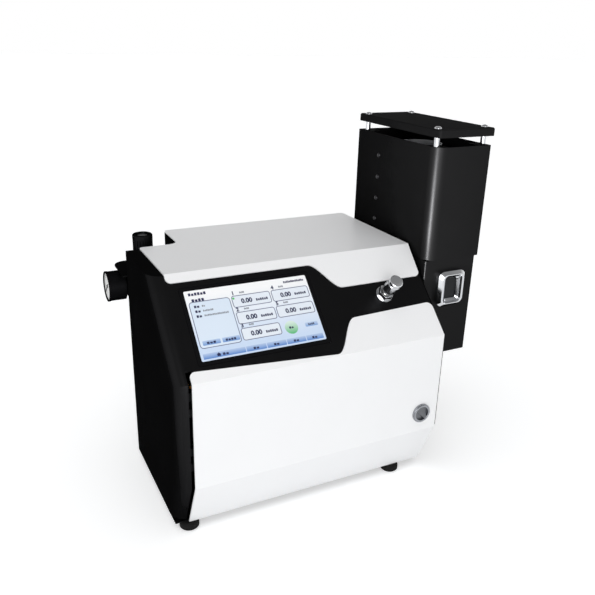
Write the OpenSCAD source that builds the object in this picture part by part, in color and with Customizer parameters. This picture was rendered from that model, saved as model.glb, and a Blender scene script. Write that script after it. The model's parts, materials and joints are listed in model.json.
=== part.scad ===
// Bench flame photometer: a console body with a touch display, a hinged front
// door, a burner tower with a capped chimney, and an air regulator at the rear.
// Lengths are in millimetres. X runs right from the left side panel, Y runs back
// from the face of the front door and Z runs up from the bench.

/* [Body] */
// Width of the body across its side panels
body_w = 356; // [346:1:366]
// Depth of the body to the rear edge of the cover
body_d = 273; // [268:1:285]
// Depth of the left side panel
side_d = 199; // [190:1:202]
// Height of the feet
foot_h = 10; // [8:1:12]
// Height of the cover's top face above the bench
body_top = 303; // [298:1:310]
// Height of the side panels' lower edge above the bench
side_bottom = 15; // [13:1:18]
// How far the lower edge of the front sits back
toe_back = 27; // [22:1:32]
// Height of the lower bend of the front
low_bend = 76; // [70:1:84]
// Height of the bend between the upright front and the console
high_bend = 210; // [206:1:214]
// Angle of the console from upright
console_angle = 46; // [43:1:48]
// Radius of the housing's left front corner
corner_l = 18; // [14:1:19]
// Radius of the housing's right front corner
corner_r = 6; // [4:1:8]
// Thickness of the housing's sheet
sheet = 1.5; // [1:0.1:2]
// Thickness of the white cover and door
panel_t = 2; // [1.5:0.1:2.5]
// Gap where one piece seats on another
seat_gap = 0.3; // [0.2:0.05:0.4]
// Width of the notch in the rear left corner
notch_w = 70; // [66:1:76]
// Distance from the front to the notch
notch_y = 207; // [205:1:210]

/* [Cover and door] */
// Left edge of the cover
cover_l = 19; // [18:1:24]
// Distance of the cover's right edge from the body's right side
cover_in = 4; // [2:1:10]
// Depth of the cover's lip above the display
cover_lip = 12; // [8:1:14]
// Depth of the cover's tongue around the fuel valve
cover_tongue = 48; // [44:1:52]
// Left edge of the door
door_l = 18; // [17.5:0.5:19]
// Distance of the door's right edge from the body's right side
door_in = 6; // [4:1:12]
// Height of the door's lower edge above the feet
door_rise = 0.5; // [0.4:0.1:1.5]
// How far the door reaches up the console at its left end
door_up_left = 14; // [10:1:17]
// How far the door reaches up the console beside its curved step
door_up_mid = 2; // [1:0.5:5]
// How far the door reaches up the console at its right end
door_up_right = 47; // [42:1:50]
// Where the curved step of the door and cover begins
step_x = 197; // [192:1:202]
// Width of the curved step
step_w = 38; // [30:1:42]

/* [Hinges and latch] */
// Diameter of a hinge knuckle
knuckle_d = 5; // [4.6:0.1:5.2]
// Diameter of a hinge pin
pin_d = 2.4; // [2:0.1:2.8]
// Radial clearance of a turning fit
run_gap = 0.05; // [0.02:0.01:0.08]
// Length of a hinge
hinge_len = 30; // [24:1:36]
// Heights of the hinges' lower ends
hinge_low = 95; // [88:1:110]
// Height of the upper hinge's lower end
hinge_high = 165; // [150:1:168]
// Distance of the latch from the door's right edge
latch_in = 25; // [24.5:0.5:26]
// Height of the latch
latch_z = 103; // [95:1:115]
// Diameter of the latch's ring
latch_d = 26; // [22:1:28]

/* [Display] */
// Width of the picture
picture_w = 154; // [150:1:156]
// Height of the picture
picture_h = 86; // [82:1:88]
// Left edge of the picture
picture_x = 36; // [32:1:38]
// Distance from the console's lower bend to the picture
picture_up = 24; // [22:1:27]
// Border of the glass around the picture
glass_edge = 5; // [3:1:6]
// Thickness of the glass
glass_t = 2; // [1.5:0.1:2.2]

/* [Fuel valve] */
// Distance of the fuel valve from the body's right side
valve_in = 68; // [60:1:86]
// Distance of the fuel valve up the console
valve_up = 68; // [66:1:71]
// Diameter of the valve's knob
knob_d = 17; // [14:1:18]
// How far the knob's end stands out of the console
knob_out = 35; // [32:1:38]
// Diameter of the valve's stem
stem_d = 8; // [6:0.5:9]
// Width of the valve's nut across its corners
nut_d = 20; // [18:1:21]

/* [Burner tower] */
// Width of the chimney
chimney_w = 85; // [82:0.5:88]
// Depth of the chimney
chimney_d = 185; // [181:1:190]
// Distance from the door's face to the chimney
chimney_y = 58; // [54:1:62]
// Height of the chimney's open top
chimney_top = 434; // [424:1:445]
// Height of the chimney's lower edge
chimney_bottom = 288; // [284:1:291]
// Height of the burner housing's floor
housing_bottom = 150; // [146:1:154]
// Radius of the chimney's left front corner
chimney_r = 15; // [12:1:16]
// Thickness of the cap
cap_t = 10; // [8:1:11]
// Gap under the cap for the hot gas
cap_gap = 12; // [10:1:16]
// How far the cap overhangs each side
cap_side = 1; // [0.5:0.5:2]
// How far the cap sits forward of the chimney
cap_forward = 3; // [2:1:5]
// Diameter of the posts under the cap
post_d = 7; // [6.5:0.5:8]
// Distance of a post from the cap's side edges
post_in = 7; // [6.5:0.5:8]
// Pitch of the chimney's side screws
side_screw_pitch = 30; // [25:1:32]
// Distance of the side screws from the chimney's rear
side_screw_in = 56; // [46:1:64]
// Width of the window's bezel
window_w = 43; // [40:1:46]
// Height of the window's bezel
window_h = 49; // [46:1:52]
// How far the window's bezel stands out
window_out = 10; // [8:1:11]
// Height of the window's centre
window_z = 247.5; // [244:0.5:250]
// Width of the window's opening
opening_w = 24; // [20:1:25]
// Height of the window's opening
opening_h = 34; // [30:1:35]

/* [Burner and optics] */
// Height of the spray chamber's axis
chamber_z = 186; // [185:1:187]
// Diameter of the spray chamber
chamber_d = 50; // [44:1:54]
// Length of the spray chamber
chamber_len = 108; // [95:1:115]
// Diameter of the burner's tube
burner_d = 18; // [16:1:20]
// Height of the burner's top
burner_top = 228; // [224:1:232]
// Height of the optical axis
optic_z = 250; // [248:1:252]
// Outer diameter of the lens tube
lens_tube_d = 34; // [32:1:36]

/* [Air regulator] */
// Distance of the regulator's axis from the left side
reg_x = 31; // [30:1:33]
// Distance of the regulator's axis from the front
reg_y = 236; // [234:1:238]
// Width of the regulator's body
reg_w = 44; // [40:1:46]
// Height of the regulator's mounting plate
reg_z = 268; // [266:1:270]
// Diameter of the adjusting knob
reg_knob_d = 26; // [24:1:28]
// Height of the adjusting knob's top
reg_knob_top = 312; // [309:1:314]
// Lift that unlocks the adjusting knob
reg_lift = 3; // [2:0.5:3]
// Diameter of the gauge
gauge_d = 40; // [36:1:42]
// Distance of the gauge's face outside the left side
gauge_out = 20; // [18:1:24]
// Height of the gauge's axis
gauge_z = 246; // [244:1:246]

/* [Rear services] */
// Width of the cooling fan
fan_w = 80; // [70:1:84]
// Thickness of the cooling fan
fan_t = 25; // [22:1:26]
// Position of the fan across the body
fan_x = 150; // [140:1:165]
// Height of the fan's axis
fan_z = 200; // [190:1:210]
// Number of fan blades
blades = 7; // [5:1:9]
// Height of the mains inlet and the switch
inlet_z = 60; // [55:1:70]
// Distance of the mains inlet from the body's right side
inlet_in = 38; // [32:1:46]
// Length of the gas nipples behind the rear panel
nipple_len = 22; // [18:1:26]
// Bore of the gas nipples
nipple_bore = 5; // [4:0.5:5.5]

/* [Hidden] */
$fn = 64;

black = [0.09, 0.09, 0.1];
white = [0.92, 0.93, 0.94];
chrome = [0.8, 0.81, 0.83];
steel = [0.62, 0.63, 0.65];
zinc = [0.7, 0.71, 0.72];
brass = [0.78, 0.63, 0.32];
rubber = [0.06, 0.06, 0.06];
glass_tint = [0.75, 0.85, 0.95];
board_green = [0.1, 0.36, 0.2];
polymer = [0.85, 0.86, 0.84];

big = 500;
tiny = 0.01;
a_toe = atan(toe_back / (low_bend - side_bottom));
a_con = console_angle;
skin = panel_t + seat_gap;
frame_top = body_top - skin;
frame_in = skin + sheet;
wall_in = sheet + seat_gap;
cover_seat = 8;
mitre_ease = 0.4;
rear_face = body_d - skin;
con_len = (body_top - high_bend) / cos(a_con);
cover_r = body_w - cover_in;
door_r = body_w - door_in;
valve_x = body_w - valve_in;
inlet_x = body_w - inlet_in;
supply_x = body_w - 156;
supply_w = 132;
pan_top = foot_h + sheet;
door_bottom = foot_h + door_rise;
stile_edge = door_r - 7.5;
jamb_edge = door_l - 3.4;
hinge_x = door_l + knuckle_d / 2;
hinge_y = panel_t + seat_gap + knuckle_d / 2;
hinge_arm = hinge_y + 4.7;
latch_x = door_r - latch_in;
latch_out = 3.5;
cam_gap = 1;
cam_t = 2;
glass_w = picture_w + 2 * glass_edge;
glass_h = picture_h + 2 * glass_edge;
glass_cx = picture_x + picture_w / 2;
glass_cs = picture_up + picture_h / 2;
housing_w = chimney_w - 3.5;
housing_y = chimney_y + 2;
housing_d = chimney_d - 4;
collar_h = 12;
collar_top = chimney_bottom + collar_h;
burner_x = body_w + housing_w / 2;
burner_y = chimney_y + chimney_d / 2;
cap_z = chimney_top + cap_gap;
cap_w = chimney_w + 2 * cap_side;
cap_x = body_w - cap_side;
cap_y = chimney_y - cap_forward;
cap_d = chimney_d + cap_forward;
cap_r = 4;
edge_r = 3;
collar_r = chimney_r - 2;
post_y = 14;
screw_top = chimney_top - 29;
notch_r = 12;
window_x = burner_x + 0.5;
reg_top = reg_z + 2;
nut_out = 8.3;
side_in = body_w - sheet;
frame_dx = -(cap_x + cap_w - gauge_out) / 2;
frame_dy = -(body_d + nipple_len - latch_out) / 2;

// Height and depth of points on the folded front, set in by i from its face
function toe_at(z, i) = [(i - (z - low_bend) * sin(a_toe)) / cos(a_toe), z];
function bend_low(i) = [i, low_bend + i * tan(a_toe / 2)];
function bend_high(i) = [i, high_bend - i * tan(a_con / 2)];
function con_at(s, i) = [s * sin(a_con) + i * cos(a_con),
    high_bend + s * cos(a_con) - i * sin(a_con)];
function bend_top(i) = [(i + (body_top - i - high_bend) * sin(a_con))
    / cos(a_con), body_top - i];
// Points of an arc and of a smooth step from s0 to s1
function arc(x, y, r, a0, a1, n = 8) =
    [for (k = [0:n]) [x + r * cos(a0 + (a1 - a0) * k / n),
        y + r * sin(a0 + (a1 - a0) * k / n)]];
function step_curve(x, w, s0, s1, n = 16) =
    [for (k = [0:n]) [x + w * k / n, s0 + (s1 - s0) * (1 - cos(180 * k / n)) / 2]];

module placed() {
    translate([frame_dx, frame_dy, 0]) children();
}
module rod_x(x0, x1, r) {
    translate([x0, 0, 0]) rotate([0, 90, 0]) cylinder(h = x1 - x0, r = r);
}
module rod_y(y0, y1, r) {
    translate([0, y1, 0]) rotate([90, 0, 0]) cylinder(h = y1 - y0, r = r);
}
module block(lo, hi) {
    translate(lo) cube(hi - lo);
}
module along_x(x0, x1) {
    translate([x0, 0, 0]) rotate([90, 0, 90]) linear_extrude(height = x1 - x0) children();
}
module along_y(y0, y1) {
    translate([0, y1, 0]) rotate([90, 0, 0]) linear_extrude(height = y1 - y0) children();
}
// Stands its children on the console, Z out of it and Y up it
module on_console(x, s, n = 0) {
    translate([x, s * sin(a_con), high_bend + s * cos(a_con)])
        rotate([90 - a_con, 0, 0]) translate([0, 0, n]) children();
}
module rounded(w, h, r) {
    square([w - 2 * r, h], center = true);
    square([w, h - 2 * r], center = true);
    for (x = [-1, 1], y = [-1, 1])
        translate([x * (w / 2 - r), y * (h / 2 - r)]) circle(r);
}
// A plan shape with its two front corners rounded, the right one in short flats
module front_rounded(xl, xr, rl, rr, depth) {
    mid = (xl + xr) / 2;
    translate([xl + rl, 0]) square([xr - xl - rl - rr, depth]);
    translate([xl, rl]) square([mid - xl, depth - rl]);
    translate([mid, rr]) square([xr - mid, depth - rr]);
    translate([xl + rl, rl]) circle(rl);
    polygon(concat([[xr - rr, rr]], arc(xr - rr, rr, rr, -90, 0)));
}
// Everything behind the three facets of the front, set in by i
module front_block(i, xl, xr, rl, rr) {
    intersection() {
        translate([0, i, 0]) linear_extrude(height = big)
            front_rounded(xl, xr, rl, rr, big);
        translate([0, 0, low_bend]) rotate([a_toe, 0, 0]) translate([0, i, -big])
            linear_extrude(height = 2 * big) front_rounded(xl, xr, rl, rr, big);
        translate([0, 0, high_bend]) rotate([-a_con, 0, 0]) translate([0, i, -big])
            linear_extrude(height = 2 * big)
                front_rounded(xl, xr, rl, rr + mitre_ease, big);
    }
}
module hex(r, h) {
    cylinder(h = h, r = r, $fn = 6);
}

/* ---- Housing ---- */

module housing_frame() {
    color(black) placed() {
        difference() {
            intersection() {
                front_block(skin, 0, body_w, corner_l, corner_r);
                union() {
                    block([0, 0, side_bottom], [body_w / 2, side_d, frame_top]);
                    block([body_w / 2, 0, side_bottom], [body_w, rear_face, frame_top]);
                }
            }
            intersection() {
                front_block(frame_in, sheet, side_in, corner_l - sheet,
                    corner_r - sheet);
                block([0, 0, 0], [body_w, big, frame_top - sheet]);
            }
            // Opening under the cover, and its relief over the rear panel
            block([cover_l + cover_seat, 112, frame_top - 5],
                [body_w - 12, big, frame_top + 5]);
            block([body_w - 13, rear_face - sheet - seat_gap, frame_top - 2],
                [side_in, big, frame_top + 5]);
            // Opening behind the door
            block([jamb_edge, -5, 0], [stile_edge, 60, high_bend - 10]);
            // Slot in which the door's hinged edge turns
            block([jamb_edge, -5, high_bend - 11], [door_l + 5, 14, high_bend + 11]);
            on_console(glass_cx, glass_cs, -10) linear_extrude(height = 20)
                rounded(glass_w + 2 * seat_gap, glass_h + 2 * seat_gap, 3 + seat_gap);
            on_console(valve_x, valve_up, -10) cylinder(h = 20, r = 6.3);
            // Passages to the burner tower
            translate([0, burner_y, chamber_z]) rod_x(body_w - 5, body_w + 5, 12);
            translate([0, burner_y, optic_z])
                rod_x(body_w - 5, body_w + 5, lens_tube_d / 2 + seat_gap);
        }
        // Return of the left jamb, which carries the hinges
        block([jamb_edge - sheet, frame_in - tiny, low_bend + 9],
            [jamb_edge, 24, high_bend - 5]);
    }
}

module base_pan() {
    x0 = wall_in;
    x1 = body_w - wall_in;
    y0 = toe_at(foot_h, panel_t)[0] + 0.6;
    flange_y = corner_l + 6;
    color(black) placed() difference() {
        union() {
            translate([0, 0, foot_h]) linear_extrude(height = sheet)
                polygon([[x0, y0], [x1, y0], [x1, rear_face], [notch_w, rear_face],
                    [notch_w, notch_y], [x0, notch_y]]);
            block([x0, y0 + flange_y, foot_h], [x0 + sheet, side_d - 18, 30]);
            block([x1 - sheet, y0 + flange_y, foot_h], [x1, rear_face - 40, 30]);
            for (x = [100, 220], y = [66, 126])
                translate([x, y, foot_h]) cylinder(h = 9.5, r = 3.5);
        }
        for (k = [0:8])
            block([150 + 14 * k, 145, foot_h - 1], [155 + 14 * k, 160, pan_top + 1]);
    }
}

module rear_panel() {
    xr = body_w - wall_in;
    low = pan_top;
    color(black) placed() difference() {
        union() {
            translate([0, 0, low]) linear_extrude(height = frame_top - low)
                polygon([[wall_in, notch_y - sheet], [wall_in, notch_y],
                    [notch_w, notch_y], [notch_w, rear_face], [xr, rear_face],
                    [xr, rear_face - sheet], [notch_w + sheet, rear_face - sheet],
                    [notch_w + sheet, notch_y - sheet]]);
            block([wall_in, 185, low], [wall_in + sheet, notch_y, frame_top - 2]);
            block([xr - sheet, 240, low], [xr, rear_face, frame_top - 2]);
            // Flange that carries the cover beside the notch
            block([wall_in, side_d + seat_gap, frame_top - sheet],
                [cover_l + cover_seat, notch_y, frame_top]);
        }
        translate([fan_x, 0, fan_z]) rod_y(rear_face - 5, rear_face + 5, fan_w / 2 - 3);
        block([inlet_x - 13.8, rear_face - 5, inlet_z - 10.2],
            [inlet_x + 13.8, rear_face + 5, inlet_z + 10.2]);
        block([inlet_x - 56.8, rear_face - 5, inlet_z - 9.8],
            [inlet_x - 43.2, rear_face + 5, inlet_z + 9.8]);
        for (x = [96, 126])
            translate([x, 0, inlet_z]) rod_y(rear_face - 5, rear_face + 5, 5.3);
        // Louvre slots beside the fan
        for (k = [0:9])
            block([250, rear_face - 5, 165 + 10 * k], [320, rear_face + 5, 169 + 10 * k]);
        for (x = [-1, 1], z = [-1, 1])
            translate([fan_x + x * (fan_w / 2 - 4.25), 0, fan_z + z * (fan_w / 2 - 4.25)])
                rod_y(rear_face - 5, rear_face + 5, 1.8);
    }
}

module top_cover() {
    s_lip = con_len - cover_lip;
    s_tongue = con_len - cover_tongue;
    r = 7;
    color(white) placed() {
        intersection() {
            along_x(cover_l, cover_r)
                polygon([con_at(s_tongue - 5, 0), bend_top(0), [body_d, body_top],
                    [body_d, body_top - panel_t], bend_top(panel_t),
                    con_at(s_tongue - 5, panel_t)]);
            union() {
                translate([0, 0, body_top - 10]) linear_extrude(height = 20)
                    polygon(concat([[cover_l, bend_top(0)[0] - 1],
                        [cover_r, bend_top(0)[0] - 1]],
                        arc(cover_r - 4, body_d - 4, 4, 0, 90),
                        arc(notch_w + 4, body_d - 4, 4, 90, 180),
                        arc(notch_w - notch_r, notch_y + notch_r, notch_r, 0, -90),
                        arc(cover_l + 4, notch_y - 4, 4, 90, 180)));
                on_console(0, 0, -10) linear_extrude(height = 20)
                    polygon(concat([[cover_l, con_len + 5]],
                        arc(cover_l + r, s_lip + r, r, 180, 270),
                        step_curve(step_x, step_w, s_lip, s_tongue),
                        arc(cover_r - r - 2, s_tongue + r, r, 270, 350),
                        [[cover_r, con_len + 5]]));
            }
        }
        // Rear lip over the rear panel
        block([notch_w + 4, body_d - panel_t, body_top - 13],
            [cover_r - 4, body_d, body_top - tiny]);
    }
}

module front_door() {
    rr = 8;
    color(white) placed() difference() {
        intersection() {
            along_x(door_l, door_r)
                polygon([toe_at(door_bottom, 0), bend_low(0), bend_high(0),
                    con_at(door_up_right + 5, 0), con_at(door_up_right + 5, panel_t),
                    bend_high(panel_t), bend_low(panel_t),
                    toe_at(door_bottom, panel_t)]);
            union() {
                block([door_l, -5, 0], [door_r, 60, high_bend]);
                on_console(0, 0, -10) linear_extrude(height = 20)
                    polygon(concat([[door_l, -5]],
                        arc(door_l + 6, door_up_left - 6, 6, 180, 90),
                        step_curve(step_x, step_w, door_up_mid, door_up_right - 3),
                        arc(door_r - rr, door_up_right - rr, rr, 90, 0),
                        [[door_r, -5]]));
            }
        }
        translate([latch_x, 0, latch_z]) rod_y(-5, 5, latch_d / 2 - 1.3);
    }
}

/* ---- Hinges and latch ---- */

// One knuckle on the hinge axis with its bore
module knuckle(z0, z1) {
    translate([hinge_x, hinge_y, z0]) difference() {
        children();
        translate([0, 0, -1]) cylinder(h = z1 - z0 + 2, r = pin_d / 2 + run_gap);
    }
}

module door_hinge_leaves() {
    third = hinge_len / 3;
    color(chrome) placed() for (z = [hinge_low, hinge_high]) {
        z0 = z + third + 0.1;
        z1 = z + 2 * third - 0.1;
        knuckle(z0, z1) union() {
            cylinder(h = z1 - z0, r = knuckle_d / 2);
            block([0, panel_t - hinge_y, 0], [8, panel_t - hinge_y + 1.5, z1 - z0]);
        }
        block([hinge_x + 5, panel_t, z], [hinge_x + 22, panel_t + 1.5, z + hinge_len]);
    }
}

module frame_hinge_leaves() {
    third = hinge_len / 3;
    color(chrome) placed() for (z = [hinge_low, hinge_high]) {
        for (k = [0, 2]) {
            z0 = z + k * third + (k == 2 ? 0.1 : 0);
            z1 = z + (k + 1) * third - (k == 0 ? 0.1 : 0);
            knuckle(z0, z1) union() {
                cylinder(h = z1 - z0, r = knuckle_d / 2);
                block([-0.8, 0, 0], [1.2, hinge_arm - hinge_y + 1.5, z1 - z0]);
                block([jamb_edge - hinge_x, hinge_arm - hinge_y, 0],
                    [1.2, hinge_arm - hinge_y + 1.5, z1 - z0]);
            }
        }
        block([jamb_edge, hinge_arm, z], [jamb_edge + 1.5, 22, z + hinge_len]);
    }
}

module hinge_pins() {
    color(steel) placed() for (z = [hinge_low, hinge_high])
        translate([hinge_x, hinge_y, z - 1]) {
            cylinder(h = hinge_len + 2, r = pin_d / 2);
            translate([0, 0, hinge_len + 1]) cylinder(h = 1, r = pin_d / 2 + 0.8);
        }
}

module latch_ring() {
    ro = latch_d / 2;
    color(chrome) placed() translate([latch_x, 0, latch_z]) difference() {
        union() {
            rod_y(-latch_out + 1, 0, ro);
            rod_y(-latch_out, -latch_out + 1 + tiny, ro - 1);
            rod_y(-tiny, 3.6, ro - 1.6);
        }
        rod_y(-latch_out - 1, 2, ro - 3.5);
        rod_y(0, 5, 4 + run_gap);
    }
}

module latch_plug() {
    r = latch_d / 2 - 3.5 - run_gap;
    color(chrome) placed() translate([latch_x, 0, latch_z]) {
        rod_y(-0.6, 1.9, r);
        rod_y(1.8, 9, 4);
        rotate([0, 45, 0]) intersection() {
            rod_y(-latch_out + 0.3, -0.5, r);
            block([-r, -latch_out, -2.4], [r, 0, 2.4]);
        }
    }
}

module latch_cam() {
    reach = latch_in - (door_r - stile_edge) + 3;
    near = frame_in + cam_gap;
    color(zinc) placed() translate([latch_x, 0, latch_z]) rotate([0, -45, 0])
        difference() {
            union() {
                rod_y(near, near + cam_t, 7);
                block([0, near, -3], [reach, near + cam_t, 3]);
                rod_y(near + cam_t - 0.1, 9, 5.6);
            }
            rod_y(0, 12, 4 + tiny);
        }
}

module feet() {
    color(rubber) placed()
        for (p = [[20, 36], [308, 36], [22, 178], [318, 250]])
            translate([p[0], p[1], 0]) rotate_extrude()
                polygon(concat([[0, 0], [10.5, 0], [12, 1.5], [12, foot_h - 4]],
                    arc(8, foot_h - 4, 4, 0, 90), [[0, foot_h]]));
}

/* ---- Display ---- */

module touch_glass() {
    color([0.2, 0.3, 0.42]) placed()
        on_console(glass_cx, glass_cs, -skin - glass_t)
            linear_extrude(height = glass_t) rounded(glass_w, glass_h, 3);
}

module lcd_module() {
    color(steel) placed() on_console(glass_cx, glass_cs, -skin - glass_t - 7)
        linear_extrude(height = 7) square([glass_w - 4, glass_h - 4], center = true);
}

module display_bracket() {
    w = glass_w / 2 + 6;
    h = glass_h / 2 + 2;
    back = -skin - glass_t - 7;
    color(zinc) placed() on_console(glass_cx, glass_cs) difference() {
        union() {
            block([-w, -h, back - 1.5], [w, h, back]);
            block([-w, -h, back - 1.5], [-w + 1.5, h, -frame_in]);
            block([w - 1.5, -h, back - 1.5], [w, h, -frame_in]);
        }
        block([-w + 30, -h + 25, back - 5], [w - 30, h - 25, back + 1]);
    }
}

/* ---- Fuel valve ---- */

module valve_body() {
    color(brass) placed() on_console(valve_x, valve_up) difference() {
        union() {
            translate([0, 0, -38]) cylinder(h = 38 - frame_in, r = 10);
            translate([0, 0, -frame_in - tiny]) cylinder(h = frame_in + nut_out, r = 6);
            translate([0, 0, -52]) cylinder(h = 14 + tiny, r = 3.5);
        }
        translate([0, 0, -30]) cylinder(h = 60, r = stem_d / 2 + run_gap);
    }
}

module valve_nut() {
    color(chrome) placed() on_console(valve_x, valve_up, -skin) difference() {
        union() {
            cylinder(h = 1.2, r = nut_d / 2 + 1);
            translate([0, 0, 1]) intersection() {
                hex(nut_d / 2, nut_out);
                cylinder(h = nut_out, r1 = nut_d / 2 + 6, r2 = nut_d / 2 - 0.7);
            }
        }
        translate([0, 0, -1]) cylinder(h = nut_out + 5, r = 6 + run_gap);
    }
}

module valve_stem() {
    color(steel) placed() on_console(valve_x, valve_up) {
        translate([0, 0, -29]) cylinder(h = knob_out + 26, r = stem_d / 2);
    }
}

module valve_knob() {
    r = knob_d / 2;
    low = nut_out + 1;
    color(chrome) placed() on_console(valve_x, valve_up) difference() {
        rotate_extrude() polygon([[0, low], [r - 1.5, low], [r - 0.8, low + 1],
            [r - 0.8, low + 4], [r, low + 5], [r, knob_out - 7],
            [r - 1, knob_out - 6.4], [r - 1, knob_out - 5], [r, knob_out - 4.4],
            [r, knob_out - 1], [r - 1, knob_out], [0, knob_out]]);
        translate([0, 0, low - 1]) cylinder(h = knob_out - 2 - low,
            r = stem_d / 2 + tiny);
    }
}

/* ---- Burner tower ---- */

module burner_housing() {
    x1 = body_w + housing_w;
    floor_z = housing_bottom + sheet;
    color(black) placed() difference() {
        translate([0, housing_y, 0]) union() {
            translate([0, 0, housing_bottom])
                linear_extrude(height = chimney_bottom - seat_gap - housing_bottom)
                    front_rounded(body_w, x1, edge_r, edge_r, housing_d);
            translate([0, 0, chimney_bottom - 2])
                linear_extrude(height = collar_h + 2)
                    front_rounded(body_w + wall_in, x1, collar_r, edge_r, housing_d);
        }
        translate([0, housing_y + sheet, 0]) {
            translate([0, 0, floor_z])
                linear_extrude(height = chimney_bottom - 2 * sheet - floor_z)
                    front_rounded(body_w + sheet, x1 - sheet, edge_r - sheet, edge_r - sheet,
                        housing_d - 2 * sheet);
            translate([0, 0, floor_z]) linear_extrude(height = big)
                front_rounded(body_w + wall_in + sheet, x1 - sheet, collar_r - sheet,
                    edge_r - sheet, housing_d - 2 * sheet);
        }
        // Window, burner neck and lens tube
        translate([window_x, 0, window_z]) along_y(housing_y - 5, housing_y + 5)
            rounded(opening_w, opening_h, 4);
        translate([0, burner_y, chamber_z]) rod_x(body_w - 5, body_w + 12, 12);
        translate([0, burner_y, optic_z])
            rod_x(body_w - 5, body_w + 12, lens_tube_d / 2 + seat_gap);
        // Air slots in the floor
        for (k = [0:4])
            block([body_w + 14 + 11 * k, burner_y - 60, housing_bottom - 1],
                [body_w + 19 + 11 * k, burner_y - 20, floor_z + 1]);
    }
}

module chimney_shell() {
    x1 = body_w + chimney_w;
    color(black) placed() {
        difference() {
            translate([0, chimney_y, chimney_bottom])
                linear_extrude(height = chimney_top - chimney_bottom)
                    front_rounded(body_w, x1, chimney_r, edge_r, chimney_d);
            translate([0, chimney_y + sheet, chimney_bottom - 1])
                linear_extrude(height = big)
                    front_rounded(body_w + sheet, x1 - sheet, chimney_r - sheet,
                        edge_r - sheet, chimney_d - 2 * sheet);
            for (k = [0:3])
                translate([0, chimney_y + chimney_d - side_screw_in,
                        screw_top - side_screw_pitch * k])
                    rod_x(body_w - 5, body_w + 5, 2.1);
        }
        // Corner tabs that carry the posts, cut by the rounded wall
        intersection() {
            translate([0, chimney_y, 0]) linear_extrude(height = big)
                front_rounded(body_w, x1, chimney_r, edge_r, chimney_d);
            for (x = [body_w, x1 - 19], y = [chimney_y, chimney_y + chimney_d - 25])
                block([x, y, chimney_top - sheet], [x + 19, y + 25, chimney_top]);
        }
    }
}

// Centres of the four posts in plan
module at_posts() {
    for (x = [cap_x + post_in, cap_x + cap_w - post_in],
            y = [cap_y + post_y, cap_y + cap_d - post_y])
        translate([x, y, 0]) children();
}

module chimney_cap() {
    color(black) placed() difference() {
        union() {
            translate([cap_x + cap_w / 2, cap_y + cap_d / 2, cap_z])
                linear_extrude(height = cap_t - 1) rounded(cap_w, cap_d, cap_r);
            translate([cap_x + cap_w / 2, cap_y + cap_d / 2, cap_z])
                linear_extrude(height = cap_t)
                    rounded(cap_w - 2, cap_d - 2, cap_r - 1);
        }
        at_posts() translate([0, 0, cap_z - 1]) cylinder(h = cap_t + 2, r = 2.2);
    }
}

module cap_posts() {
    color(chrome) placed() at_posts() translate([0, 0, chimney_top]) difference() {
        cylinder(h = cap_gap, r = post_d / 2);
        translate([0, 0, 3]) cylinder(h = cap_gap, r = 2 + run_gap);
    }
}

// A domed screw head of radius r
module dome(r, h) {
    rotate_extrude() polygon(concat([[0, 0]], [[r, 0]],
        [for (k = [1:8]) [r * cos(90 * k / 8), h * sin(90 * k / 8)]]));
}

module cap_screws() {
    color(chrome) placed() at_posts() translate([0, 0, cap_z + cap_t]) difference() {
        union() {
            dome(4.6, 2.8);
            translate([0, 0, -cap_t - cap_gap + 4])
                cylinder(h = cap_t + cap_gap - 4 + tiny, r = 2);
        }
        translate([0, 0, 1]) hex(1.5, 5);
    }
}

module side_screws() {
    color(steel) placed() for (k = [0:3])
        translate([body_w, chimney_y + chimney_d - side_screw_in,
                screw_top - side_screw_pitch * k]) {
            rotate([0, -90, 0]) dome(3.2, 2.2);
            rod_x(-tiny, 8, 2);
        }
}

module window_bezel() {
    w = window_w / 2;
    h = window_h / 2;
    color(chrome) placed() translate([window_x, housing_y, window_z])
        rotate([90, 0, 0]) difference() {
            hull() {
                linear_extrude(height = window_out - 4) rounded(2 * w, 2 * h, 9,
                    $fn = 32);
                linear_extrude(height = window_out)
                    rounded(2 * w - 8, 2 * h - 8, 7, $fn = 32);
            }
            translate([0, 0, -1]) linear_extrude(height = window_out + 2)
                rounded(opening_w, opening_h, 4, $fn = 32);
            translate([0, 0, -1]) linear_extrude(height = 4.3)
                rounded(opening_w + 8, opening_h + 8, 5, $fn = 32);
            hull() {
                translate([0, 0, window_out + tiny]) linear_extrude(height = tiny)
                    rounded(opening_w + 5, opening_h + 5, 6, $fn = 32);
                translate([0, 0, window_out - 4]) linear_extrude(height = tiny)
                    rounded(opening_w - tiny, opening_h - tiny, 4, $fn = 32);
            }
        }
}

module window_glass() {
    color(glass_tint) placed() translate([window_x, housing_y, window_z])
        rotate([90, 0, 0]) linear_extrude(height = 3)
            rounded(opening_w + 8 - 2 * seat_gap, opening_h + 8 - 2 * seat_gap, 4.7);
}

module heat_liner() {
    x1 = body_w + housing_w;
    color(steel) placed() difference() {
        union() {
            translate([0, housing_y + 0.4, collar_top]) linear_extrude(height = sheet)
                front_rounded(body_w + wall_in + 0.2, x1 - 0.2, collar_r, edge_r,
                    housing_d - 0.8);
            translate([burner_x, burner_y, collar_top])
                cylinder(h = chimney_top - 8 - collar_top, r = 30);
        }
        translate([burner_x, burner_y, collar_top - 1])
            cylinder(h = big, r = 28.8);
    }
}

/* ---- Burner and spray chamber ---- */

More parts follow.
